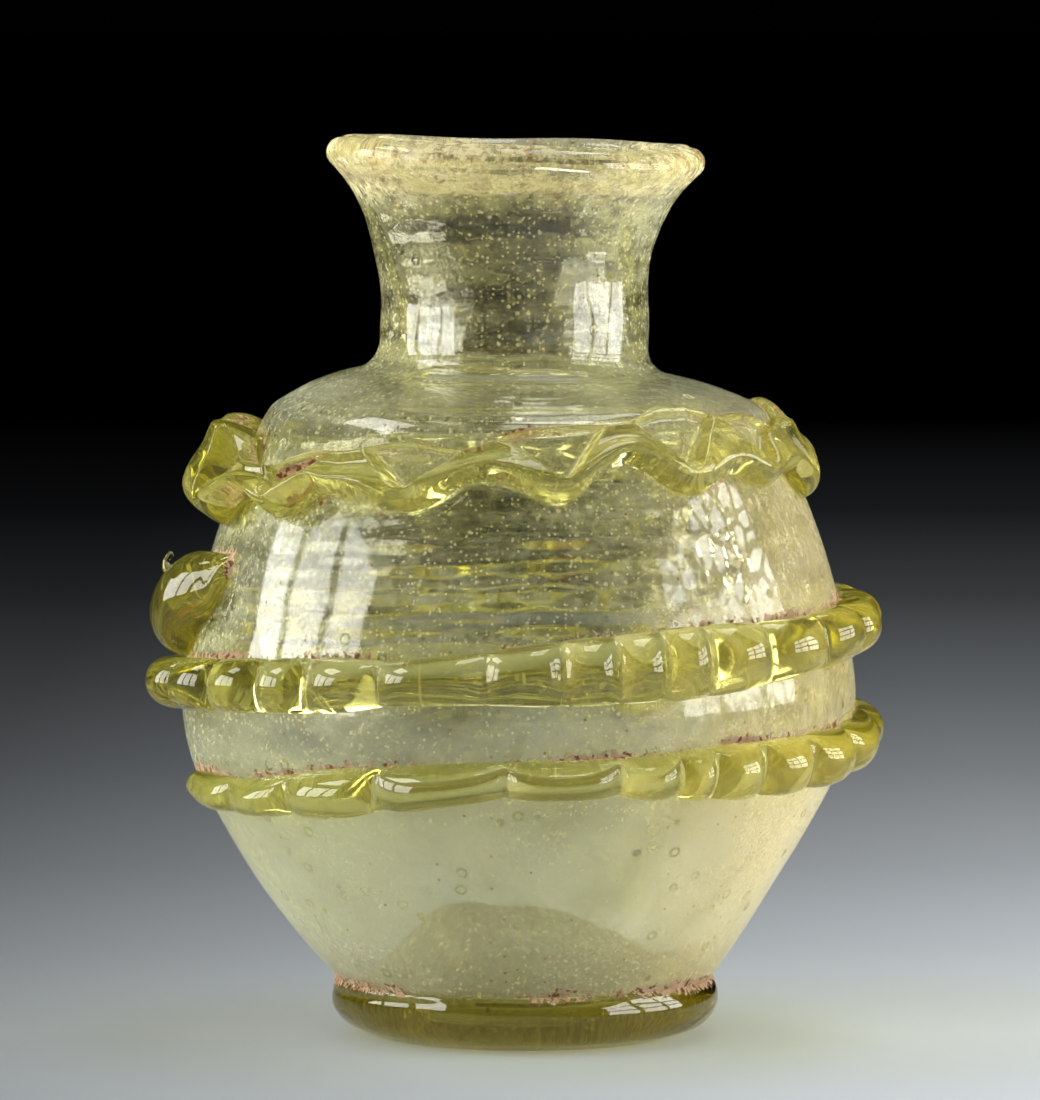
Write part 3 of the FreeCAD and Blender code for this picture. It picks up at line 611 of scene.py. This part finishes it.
def vessel_marks(points, inside):
    """Named numbers on the vessel's points, each mostly 0 to 1, from places as the camera sees them:
    x and side run to the right, z goes up, and all lengths are in mm."""
    x, y, z = points.T
    side = x / BELLY[0]
    away = np.hypot(x, y)
    lower = 1 - smooth(27, 36, z)
    neck = smooth(82, 86, z)
    flare = smooth(103, 108, z)
    rim = smooth(103, 107, z)
    shoulder = smooth(74, 82, z)
    # Earth dried on the pushed-in base's inside, and painted shade on the inside of the wall low down, just
    # above the foot
    kick = inside * (1 - smooth(16.5, 19.0, away)) * (1 - smooth(19, 22, z))
    painted_foot_shade = inside * (1 - kick) * smooth(5.5, 8, z) * (1 - smooth(8, 17, z))
    # The film is thicker to the right of the belly, low down, on the lip and to the neck's right
    film = 0.14 + 0.11 * smooth(0.1, 0.7, side) * smooth(14, 34, z) * (1 - shoulder)
    film += 0.08 * lower - 0.04 * bump(z, 46, 8)
    film -= 0.03 * bump(side, -0.05, 0.55) * bump(z, 60, 15)
    film -= 0.05 * bump(x, 0, 12) * neck * (1 - flare)
    film += 0.34 * smooth(104, 108, z) + 0.14 * bump(z, 101, 9) * smooth(2, 14, x)
    film += 0.06 * bump(z, 80, 5) * bump(x, -24, 13) - 0.09 * bump(z, 80, 4) * bump(x, 0, 17)
    # Earth thickens the film in the base, and painted shade thickens it low inside the wall above the foot
    film = film * (1 - kick) + 0.85 * kick + 0.18 * painted_foot_shade
    mottle = np.clip(1 - lower - 0.7 * smooth(0.3, 0.7, side) * (1 - neck), 0, 1)
    mottle = mottle * (1 - 0.5 * bump(z, 80.5, 4)) * (1 - 0.2 * smooth(104, 108, z))
    mottle = np.maximum(mottle * (1 - 0.4 * bump(z, 36, 9)), 0.35 * kick)
    warm = 0.9 * smooth(0.0, 0.8, side) * (1 - shoulder)
    # Brown: the base's earth, a darker middle inside the neck, and painted shade low inside the wall above
    # the foot
    brown = kick + 0.35 * bump(x, 0, 16) * neck * (1 - flare) * inside + 0.8 * painted_foot_shade
    olive = 0.5 * neck * (1 - rim) + 0.35 * (1 - lower) * bump(side, -0.1, 0.7)
    # The window's shine at the right lies on crazed glass, the one at the left is nearly whole
    crazed = 1.3 * bump(side, 0.58, 0.42) * bump(z, 64, 17) + 0.5 * bump(side, 0.5, 0.3) * bump(z, 90, 9)
    crazed += 0.8 * bump(side, 0.7, 0.4) * bump(z, 42, 7)
    crazed += 0.5 * bump(side, -0.62, 0.3) * bump(z, 68, 14)
    soil, covered = seam_marks(points, side)
    return {"film": np.clip(film, 0.02, 1), "mottle": mottle, "warm": warm, "brown": brown,
            "olive": np.clip(olive, 0, 1), "crazed": np.clip(crazed, 0, 1), "rim": rim, "inner": inside,
            "soil": np.where(inside, 0.0, soil), "covered": np.where(inside, 0.0, covered)}


def seam_marks(points, side):
    """Earth along the seams of the trails and the foot, and the wall that those pieces cover."""
    x, y, z = points.T
    azimuth = np.arctan2(y, x)
    away = np.hypot(x, y)
    top, low = wave_edges((-azimuth / math.tau) % 1.0)
    covered = smooth(0.3, 0.7, top - z) * smooth(0.3, 0.7, z - low)
    soil = np.maximum(0.75 * bump(z, top, 2.2), 0.6 * bump(z, low, 2.0))
    wound = (0.5 - azimuth / math.tau) % 1.0
    seam = 0.72 + 0.20 * smooth(0.1, 0.8, np.abs(side))
    for turn in (wound - 1, wound, wound + 1):
        exists = (turn >= COIL_FALL[0][0]) & (turn <= COIL_FALL[-1][0])
        level = coil_level(turn)
        half = coil_half_width(turn)
        reach = np.where(exists, half - np.abs(z - level), -9)
        covered = np.maximum(covered, smooth(0.3, 0.7, reach))
        soil = np.maximum(soil, np.where(exists, seam * bump(z, level + half, 2.4), 0))
        soil = np.maximum(soil, np.where(exists, 0.6 * bump(z, level - half, 1.6), 0))
    foot_soil = foot_seam(azimuth) * bump(z, JOIN[1] + 0.4, 2.2) * smooth(20, 22, away)
    covered = np.maximum(covered, (z < JOIN[1] - 0.5) & (away > SEAT[0]))
    return np.maximum(soil, foot_soil), covered


def foot_seam(azimuth):
    """How much earth lies in the seam over the foot ring, more at the sides than in front."""
    return FOOT_SEAM + sway(azimuth, FOOT_SEAM_WAVES)


def make_ring(material):
    """The foot coil. The seat where it is fused to the bubble is marked as covered."""
    inner_rest, outer_rest = (RING_REST, 0.0), (RING_REST + RING_REST_WIDTH, 0.0)
    outer = arc(RING_SEAT, RING_BORE, inner_rest, 12) + line(inner_rest, outer_rest, 3)
    outer += line(outer_rest, RING_FOOT, 4)
    outer += arc(RING_FOOT, RING_LOW, RING_BEAD, 12) + arc(RING_BEAD, RING_NECK, JOIN, 10)
    seat = line(JOIN, SEAT, 6) + line(SEAT, RING_SEAT, 2)
    seat = [(r, h + SINK * 0.4) for r, h in seat]
    profile = np.array(outer + seat)
    around = 288
    azimuth = np.arange(around)[None, :] / around * math.tau
    radius = np.broadcast_to(profile[:, :1], (len(profile), around)).copy()
    height = np.broadcast_to(profile[:, 1:], radius.shape).copy()
    proud = smooth(19.5, 22, radius) * (1 - smooth(5.8, 7.0, height))
    radius -= proud * (RING_SLACK + sway(azimuth, RING_WOBBLES))
    height += proud * smooth(2, 4, height) * sway(azimuth, RING_SAG)
    points = np.stack([radius * np.cos(azimuth), radius * np.sin(azimuth), height], axis=-1).reshape(-1, 3)
    faces = ring_faces(len(profile), around, True)
    soil = foot_seam(azimuth) * bump(height, JOIN[1], 2.2) * smooth(21, 23, radius)
    covered = np.repeat(np.arange(len(profile)) >= len(outer), around)
    return make_mesh("base_ring_glass", lean(points), faces, material, {"soil": soil, "covered": covered})


def make_scar(material):
    """The broken ring left by the working rod: a ragged low wall under the middle of the base."""
    around = 96
    draw = random.Random(12)
    jags = [draw.uniform(0.0, SCAR_JAG) for _ in range(around)]
    points = []
    for r, depth in SCAR_EDGE + SCAR_BACK:
        base = dome_height(r)
        for j in range(around):
            azimuth = math.tau * j / around
            jag = jags[j] * (0.5 + 0.5 * math.sin(r * 5 + j))
            level = base - max(0.0, depth - jag) if depth else base + SINK
            points.append((r * math.cos(azimuth), r * math.sin(azimuth), level))
    faces = ring_faces(len(SCAR_EDGE + SCAR_BACK), around, True)
    soil = np.full(len(points), 0.35)
    return make_mesh("pontil_scar_glass", lean(np.array(points)), faces, material, {"soil": soil})


def make_thread_tip(material):
    """The fine end of the belly trail, pulled up and away where the first drop began."""
    rings, around, fine = [], 12, 18
    for i in range(fine + 1):
        at = i / fine * (len(TIP_ROUTE) - 1)
        k = min(int(at), len(TIP_ROUTE) - 2)
        share = at - k
        middle = Vector(TIP_ROUTE[k]).lerp(Vector(TIP_ROUTE[k + 1]), share)
        way = (Vector(TIP_ROUTE[k + 1]) - Vector(TIP_ROUTE[k])).normalized()
        r = TIP_RADII[k] + (TIP_RADII[k + 1] - TIP_RADII[k]) * share
        # The last two rings close in to a rounded end
        r *= math.sqrt(max(0.04, 1 - max(0.0, (i - fine + 2) / 2) ** 2))
        side = way.cross(Vector((0, 1, 0))).normalized() * r
        other = way.cross(side)
        turns = [math.tau * j / around for j in range(around)]
        rings.append([middle + side * math.cos(turn) + other * math.sin(turn) for turn in turns])
    points = [tuple(p) for ring in rings for p in ring]
    faces = ring_faces(len(rings), around, False)
    faces += [list(range(around))[::-1], list(range(len(points) - around, len(points)))]
    return make_mesh("thread_tip_glass", points, faces, material, {"soil": np.full(len(points), 0.25)})


# Materials

def put(tree, kind, inputs=None, **settings):
    """A node with its settings and inputs. An input that is a socket is linked."""
    made = tree.nodes.new(kind)
    for key, value in settings.items():
        setattr(made, key, value)
    for key, value in (inputs or {}).items():
        if isinstance(value, bpy.types.NodeSocket):
            tree.links.new(value, made.inputs[key])
        else:
            made.inputs[key].default_value = value
    return made


def calc(tree, operation, *values, clamp=False):
    made = put(tree, "ShaderNodeMath", dict(enumerate(values)), operation=operation, use_clamp=clamp)
    return made.outputs[0]


def scaled(tree, value, factor, more=0.0):
    """A value times a factor, with a number added."""
    product = calc(tree, "MULTIPLY", value, factor)
    return calc(tree, "ADD", product, more) if more else product


def blend_colours(tree, share, a, b):
    made = put(tree, "ShaderNodeMix", {0: share, 6: a, 7: b}, data_type="RGBA")
    return made.outputs[2]


def mix_shaders(tree, share, a, b):
    return put(tree, "ShaderNodeMixShader", {0: share, 1: a, 2: b}).outputs[0]


def ramp(tree, value, low, high):
    """0 to 1 as a value goes from low to high."""
    made = put(tree, "ShaderNodeMapRange", {0: value, 1: low, 2: high}, interpolation_type="SMOOTHSTEP")
    return made.outputs[0]


def stretched(tree, place, scale):
    return put(tree, "ShaderNodeMapping", {"Vector": place, "Scale": scale}).outputs[0]


def grain(tree, place, scale, detail, rough=0.55, stretch=None):
    """Noise over the piece. The scale is features to the metre."""
    if stretch:
        place = stretched(tree, place, stretch)
    made = put(tree, "ShaderNodeTexNoise",
               {"Vector": place, "Scale": scale, "Detail": detail, "Roughness": rough})
    return made.outputs[0]


def mark(tree, name):
    return put(tree, "ShaderNodeAttribute", attribute_name=name).outputs["Fac"]


def new_material(name):
    material = bpy.data.materials.new(name)
    material.use_nodes = True
    material.node_tree.nodes.clear()
    return material, material.node_tree


def cells(tree, place, scale, share):
    """Round cells over the piece, scale to the metre: the distance from each cell's middle, and
    1 in a share of the cells, drawn at random."""
    made = put(tree, "ShaderNodeTexVoronoi", {"Vector": place, "Scale": scale})
    chance = put(tree, "ShaderNodeSeparateColor", {0: made.outputs["Color"]}).outputs[0]
    return made.outputs["Distance"], calc(tree, "LESS_THAN", chance, share)


def dots(tree, place, scale, radius, share):
    """Round dots in a share of the cells."""
    away, chosen = cells(tree, place, scale, share)
    return calc(tree, "MULTIPLY", ramp(tree, away, radius, radius * 0.5), chosen)


# Colours of the weathering and the earth, in linear light. The brown also paints shade low inside the wall
# above the foot
VESSEL_FILM = [(0.58, 0.60, 0.52, 1), (0.68, 0.70, 0.63, 1)]
VESSEL_STAINS_AND_SHADE = [("warm", (0.76, 0.66, 0.50, 1)), ("olive", (0.50, 0.46, 0.21, 1)),
                 ("brown", (0.17, 0.14, 0.06, 1)), ("rim", (0.82, 0.75, 0.50, 1))]
RUST = (0.40, 0.20, 0.09, 1)
SPECK = (0.78, 0.73, 0.50, 1)
FLECK = (0.24, 0.13, 0.06, 1)
TRAIL_FILM = [(0.66, 0.61, 0.18, 1), (0.76, 0.71, 0.28, 1)]
POCKET_FILM = (0.62, 0.60, 0.46, 1)
EARTH = [(0.54, 0.40, 0.27, 1), (0.40, 0.25, 0.15, 1)]
EARTH_SPECK = (0.17, 0.065, 0.03, 1)


def film_base(tree, place, fine, tones):
    """How much of the surface a clouded film hides, and its colour, blotched with two tones."""
    cloud = ramp(tree, grain(tree, place, 55, 5), 0.3, 0.7)
    cover = calc(tree, "MULTIPLY", mark(tree, "film"), scaled(tree, cloud, 0.6, 0.70))
    return cover, blend_colours(tree, ramp(tree, fine, 0.4, 0.7), *tones)


def vessel_film(tree, place, fine, specks):
    """The vessel's film: mottled with horizontal streaks on the upper jar, even on the lower."""
    cover, colour = film_base(tree, place, fine, VESSEL_FILM)
    streak = ramp(tree, grain(tree, place, 60, 5, 0.65, (1.0, 1.0, 5.0)), 0.38, 0.62)
    blotch = ramp(tree, grain(tree, place, 800, 4, 0.7), 0.42, 0.60)
    uneven = calc(tree, "MULTIPLY", scaled(tree, streak, 1.45, 0.15), scaled(tree, blotch, 1.5, 0.2))
    even = scaled(tree, ramp(tree, fine, 0.35, 0.65), 0.5, 0.75)
    mottle = mark(tree, "mottle")
    uneven = put(tree, "ShaderNodeMix", {0: mottle, 2: even, 3: uneven}).outputs[0]
    cover = calc(tree, "MULTIPLY", cover, uneven)
    # The brown among these also lays painted shade low inside the wall above the foot, besides the earth
    for name, stain_and_shade in VESSEL_STAINS_AND_SHADE:
        colour = blend_colours(tree, mark(tree, name), colour, stain_and_shade)
    rust = ramp(tree, grain(tree, place, 380, 5, 0.7), 0.54, 0.66)
    rust = calc(tree, "MULTIPLY", rust, scaled(tree, mark(tree, "rim"), 0.7, 0.25))
    colour = blend_colours(tree, rust, colour, RUST)
    colour = blend_colours(tree, scaled(tree, specks, 0.7), colour, SPECK)
    speckled = calc(tree, "MULTIPLY", specks, scaled(tree, mottle, 0.32, 0.05))
    cover = calc(tree, "ADD", cover, speckled, clamp=True)
    # Brown flecks of earth, thinly strewn
    flecks = dots(tree, place, 620, 0.17, 0.13)
    cover = calc(tree, "MAXIMUM", cover, scaled(tree, flecks, 0.75))
    return cover, blend_colours(tree, flecks, colour, FLECK)


def trail_film(tree, place, fine, specks):
    """The trails' film. The pressed pockets were never wiped as clean as the rest."""
    cover, colour = film_base(tree, place, fine, TRAIL_FILM)
    pale = mark(tree, "pale")
    pocket = calc(tree, "MULTIPLY", pale, ramp(tree, fine, 0.3, 0.7))
    cover = calc(tree, "ADD", cover, scaled(tree, pocket, 0.3))
    cover = calc(tree, "ADD", cover, scaled(tree, specks, 0.08))
    return cover, blend_colours(tree, pale, colour, POCKET_FILM)


def cracks_and_bubbles(tree, place):
    """Where the vessel doesn't shine: crazing that runs mostly up and down, and round bubbles in
    the glass, seen as thin rings."""
    stray = put(tree, "ShaderNodeTexNoise", {"Vector": place, "Scale": 300.0, "Detail": 2.0})
    bent = put(tree, "ShaderNodeVectorMath", {0: stray.outputs["Color"], 1: (0.0018, 0.0018, 0.0018),
                                              2: stretched(tree, place, (1.0, 1.0, 0.5))},
               operation="MULTIPLY_ADD").outputs[0]
    cracks = put(tree, "ShaderNodeTexVoronoi", {"Vector": bent, "Scale": 430.0}, feature="DISTANCE_TO_EDGE")
    vein = calc(tree, "MULTIPLY", ramp(tree, cracks.outputs["Distance"], 0.15, 0.08), mark(tree, "crazed"))
    away, chosen = cells(tree, place, 430.0, 0.09)
    edge = calc(tree, "ABSOLUTE", calc(tree, "SUBTRACT", away, 0.27))
    bubble = calc(tree, "MULTIPLY", ramp(tree, edge, 0.09, 0.04), chosen)
    return calc(tree, "MAXIMUM", vein, bubble)


def clear_glass(tree, place, fine, gloss, body):
    """The glass itself, faintly pitted. The vessel's is cracked, and dull inside, where it was
    never cleaned."""
    waves = calc(tree, "ADD", scaled(tree, grain(tree, place, 160, 2), 2.0), scaled(tree, fine, 0.3))
    pits = put(tree, "ShaderNodeBump", {"Strength": 0.10 if body else 0.05, "Distance": 0.00012,
                                        "Height": waves}).outputs[0]
    rough = put(tree, "ShaderNodeMapRange", {0: fine, 1: 0.35, 2: 0.75, 3: gloss[0], 4: gloss[1]}).outputs[0]
    if body:
        rough = calc(tree, "ADD", rough, scaled(tree, mark(tree, "inner"), 0.05))
    clear = put(tree, "ShaderNodeBsdfGlass", {"Color": (1, 1, 0.985, 1), "Roughness": rough, "IOR": 1.5,
                                              "Normal": pits}).outputs[0]
    if not body:
        return clear
    broken = put(tree, "ShaderNodeBsdfTransparent", {"Color": (0.8, 0.8, 0.7, 1)}).outputs[0]
    return mix_shaders(tree, scaled(tree, cracks_and_bubbles(tree, place), 0.85), clear, broken)


def with_earth(tree, place, surface):
    """Pinkish burial earth with red-brown specks. It lies thickest in the seams, in patches that
    break up into specks."""
    tone = blend_colours(tree, ramp(tree, grain(tree, place, 420, 5), 0.35, 0.65), *EARTH)
    specks = ramp(tree, grain(tree, place, 1300, 2), 0.54, 0.60)
    tone = blend_colours(tree, specks, tone, EARTH_SPECK)
    earth = put(tree, "ShaderNodeBsdfDiffuse", {"Color": tone, "Roughness": 0.9}).outputs[0]
    patchy = calc(tree, "ADD", scaled(tree, grain(tree, place, 110, 3), 1.3),
                  scaled(tree, grain(tree, place, 1400, 3, 0.7), 1.5))
    dirt = ramp(tree, calc(tree, "ADD", mark(tree, "soil"), patchy), 2.16, 2.30)
    return mix_shaders(tree, dirt, surface, earth)


def glass_material(name, tint, density, gloss, shade, body=False):
    """Old glass: a clear body that absorbs, a thin weathering film and soil in its seams.
    gloss is the roughness and shade the tint that a surface gives to the light passing
    through it. body is for the vessel's wall."""
    material, tree = new_material(name)
    place = put(tree, "ShaderNodeTexCoord").outputs["Object"]
    fine = grain(tree, place, 1700, 5, 0.7)
    specks = calc(tree, "ADD", dots(tree, place, 850, 0.32, 0.20),
                  dots(tree, place, 1600, 0.40, 0.30), clamp=True)
    film = vessel_film if body else trail_film
    cover, film_colour = film(tree, place, fine, specks)
    soft = put(tree, "ShaderNodeBsdfDiffuse", {"Color": film_colour, "Roughness": 0.6}).outputs[0]
    through = put(tree, "ShaderNodeBsdfTranslucent", {"Color": film_colour}).outputs[0]
    clear = clear_glass(tree, place, fine, gloss, body)
    surface = mix_shaders(tree, cover, clear, mix_shaders(tree, 0.45, soft, through))
    surface = with_earth(tree, place, surface)
    # For shadows, light passes straight through, dimmed where the film is thick
    passed = blend_colours(tree, cover, shade, tuple(0.55 * c for c in shade[:3]) + (1,))
    open_way = put(tree, "ShaderNodeBsdfTransparent", {"Color": passed}).outputs[0]
    shadow = put(tree, "ShaderNodeLightPath").outputs["Is Shadow Ray"]
    surface = mix_shaders(tree, shadow, surface, open_way)
    # Nothing bends where two pieces are fused
    clean = put(tree, "ShaderNodeBsdfTransparent").outputs[0]
    surface = mix_shaders(tree, mark(tree, "covered"), surface, clean)
    volume = put(tree, "ShaderNodeVolumeAbsorption", {"Color": tint, "Density": density}).outputs[0]
    put(tree, "ShaderNodeOutputMaterial", {"Surface": surface, "Volume": volume})
    return material


vessel_glass = glass_material("pale_weathered_glass", tint=(0.80, 0.79, 0.18, 1), density=75.0,
                              gloss=(0.0, 0.03), shade=(0.95, 0.95, 0.88, 1), body=True)
trail_glass = glass_material("olive_trail_glass", tint=(0.82, 0.79, 0.08, 1), density=170.0,
                             gloss=(0.0, 0.02), shade=(0.90, 0.90, 0.62, 1))
ring_glass = glass_material("olive_foot_glass", tint=(0.73, 0.67, 0.0, 1), density=350.0,
                            gloss=(0.0, 0.03), shade=(0.88, 0.86, 0.55, 1))

vessel = make_vessel(vessel_glass)
shoulder = make_shoulder_trail(trail_glass)
coil = make_body_trail(trail_glass)
ring = make_ring(ring_glass)
scar = make_scar(ring_glass)
tip = make_thread_tip(trail_glass)

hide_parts("vessel_body")
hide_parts("shoulder_trail")
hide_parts("body_trail")
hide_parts("base_ring")
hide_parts("pontil_scar")
for piece, slot in ((vessel, "vessel_glass"), (shoulder, "trail_glass"), (coil, "trail_glass"),
                    (tip, "trail_glass"), (ring, "ring_glass"), (scar, "ring_glass")):
    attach(piece, "root")


# Floor, light and camera

# Lengths in metres. The floor's tones are grey levels by distance behind the jar's middle: a painted pool
# of light round the jar that fades into the dark. They are dimmer at the left, painted shade on that side:
# the last four numbers are from x to x, and from share to share of the tone
FLOOR_SIZE = 30.0
FLOOR_GLOW = 1.4
FLOOR_GLOW_NEAR = 0.35
FLOOR_NEAR = (0.34, 0.20)
FLOOR_FRONT = 0.15
FLOOR_SHIFT = 0.06
PAINTED_FLOOR_LIGHT = [(0.06, 0.44), (0.15, 0.32), (0.25, 0.23), (0.40, 0.150), (0.56, 0.098), (0.78, 0.042),
               (1.05, 0.012), (1.45, 0.0)]
FLOOR_PAINTED_SHADE_LEFT_TO_RIGHT = (-0.09, 0.09, 0.37, 1.05)

BLACK = (0, 0, 0, 1)

# The camera's focal length in millimetres, its place and how far it looks down in degrees
CAMERA_LENS = 268.3
CAMERA_PLACE = (0.0003, -1.02, 0.1332)
CAMERA_DOWN = 4.078


def make_floor():
    """A plain floor with a painted pool of light, pale round the jar, that falls off into the dark behind it
    and is painted darker at the left.
    """
    material, tree = new_material("pale_floor")
    place = put(tree, "ShaderNodeTexCoord").outputs["Object"]
    parts = put(tree, "ShaderNodeSeparateXYZ", {0: place}).outputs
    span = PAINTED_FLOOR_LIGHT[-1][0] + FLOOR_FRONT
    depth = calc(tree, "DIVIDE", calc(tree, "ADD", parts["Y"], FLOOR_FRONT), span)
    # Painted light: the floor's colour and glow fade with distance behind the jar
    fall = put(tree, "ShaderNodeValToRGB", {0: depth})
    stops = fall.color_ramp.elements
    for i, (at, tone) in enumerate(PAINTED_FLOOR_LIGHT):
        stop = stops[i] if i < 2 else stops.new(0.999)
        stop.position = (at + FLOOR_FRONT - FLOOR_SHIFT) / span
        stop.color = (tone * 0.94, tone, tone * 1.05, 1)
    # Painted shade: the floor darkens towards the left
    across = put(tree, "ShaderNodeMapRange", dict(enumerate([parts["X"], *FLOOR_PAINTED_SHADE_LEFT_TO_RIGHT]))).outputs[0]
    tone = blend_colours(tree, across, BLACK, fall.outputs[0])
    # Far out to the sides and in front the floor glows evenly, so the lamps leave no edges on it
    away = calc(tree, "MAXIMUM", calc(tree, "ABSOLUTE", parts["X"]), scaled(tree, parts["Y"], -1.0))
    near = ramp(tree, away, *FLOOR_NEAR)
    faint = blend_colours(tree, FLOOR_GLOW_NEAR / FLOOR_GLOW, BLACK, tone)
    glow = put(tree, "ShaderNodeEmission",
               {"Color": blend_colours(tree, near, tone, faint), "Strength": FLOOR_GLOW}).outputs[0]
    dim = blend_colours(tree, scaled(tree, near, 0.85), BLACK, tone)
    plain = put(tree, "ShaderNodeBsdfDiffuse", {"Color": dim}).outputs[0]
    seen = put(tree, "ShaderNodeAddShader", {0: glow, 1: plain}).outputs[0]
    matt = put(tree, "ShaderNodeBsdfDiffuse", {"Color": (0.40, 0.41, 0.43, 1)}).outputs[0]
    put(tree, "ShaderNodeOutputMaterial", {"Surface": mix_shaders(tree, seen_directly(tree), matt, seen)})
    half = FLOOR_SIZE / MM / 2
    floor = make_mesh("floor", [(-half, -half, 0), (half, -half, 0), (half, half, 0), (-half, half, 0)],
                      [(0, 1, 2, 3)], material)


def seen_directly(tree):
    """1 for what the camera sees, straight or through clear glass or mirrored, otherwise 0."""
    rays = put(tree, "ShaderNodeLightPath").outputs
    seen = calc(tree, "MAXIMUM", rays["Is Camera Ray"], rays["Is Glossy Ray"])
    return calc(tree, "MAXIMUM", seen, rays["Is Transmission Ray"])


def make_world():
    """Soft light from all round for matt surfaces, and the dark of the room for everything clear."""
    world = bpy.data.worlds.new("room")
    bpy.context.scene.world = world
    world.use_nodes = True
    tree = world.node_tree
    tree.nodes.clear()
    tone = blend_colours(tree, seen_directly(tree), (0.98, 1.0, 1.0, 1), (0.0004, 0.0004, 0.0005, 1))
    room = put(tree, "ShaderNodeBackground", {"Color": tone, "Strength": 0.45}).outputs[0]
    put(tree, "ShaderNodeOutputWorld", {"Surface": room})


def lamp(name, place, target, width, height, radiance):
    """A flat rectangular lamp of a given brightness, whatever its size."""
    light = bpy.data.lights.new(name, "AREA")
    light.shape = "RECTANGLE"
    light.size = width
    light.size_y = height
    light.energy = radiance * math.pi * width * height
    lit = bpy.data.objects.new(name, light)
    lit.location = place
    lit.rotation_euler = (Vector(target) - Vector(place)).to_track_quat("-Z", "Y").to_euler()
    bpy.context.scene.collection.objects.link(lit)


def window(name, azimuth, distance, low, high, width, columns, rows, bar, radiance):
    """A soft window of panes with bars between, at degrees to the side of the camera."""
    turn = math.radians(azimuth)
    centre = Vector((math.sin(turn) * distance, -math.cos(turn) * distance, 0))
    along = Vector((math.cos(turn), math.sin(turn), 0))
    pane_width = (width - bar * (columns - 1)) / columns
    pane_height = (high - low - bar * (rows - 1)) / rows
    for i in range(columns):
        for j in range(rows):
            place = centre + along * ((i - (columns - 1) / 2) * (pane_width + bar))
            place.z = low + pane_height / 2 + j * (pane_height + bar)
            lamp("%s_%d_%d" % (name, i, j), place, place - centre, pane_width, pane_height, radiance)


def make_camera():
    """A long lens a little above the shoulder, looking slightly down."""
    camera = bpy.data.cameras.new("camera")
    camera.lens = CAMERA_LENS
    camera.sensor_width = 36.0
    seen = bpy.data.objects.new("camera", camera)
    seen.location = CAMERA_PLACE
    seen.rotation_euler = (math.radians(90 - CAMERA_DOWN), 0, 0)
    bpy.context.scene.collection.objects.link(seen)
    bpy.context.scene.camera = seen


make_floor()
make_world()
window("left_window", azimuth=-81, distance=0.45, low=0.040, high=0.300, width=0.44,
       columns=3, rows=1, bar=0.026, radiance=8.5)
window("right_window", azimuth=80, distance=0.45, low=0.040, high=0.300, width=0.42,
       columns=3, rows=3, bar=0.020, radiance=9.0)
lamp("top_light", place=(0.12, 0.12, 0.75), target=(0.12, 0, 0.08), width=0.26, height=0.60, radiance=4.5)
lamp("high_window", place=(-0.41, -0.01, 0.52), target=(0, 0, 0.08), width=0.28, height=0.18, radiance=8.0)
make_camera()
bpy.context.scene.view_settings.view_transform = "Standard"
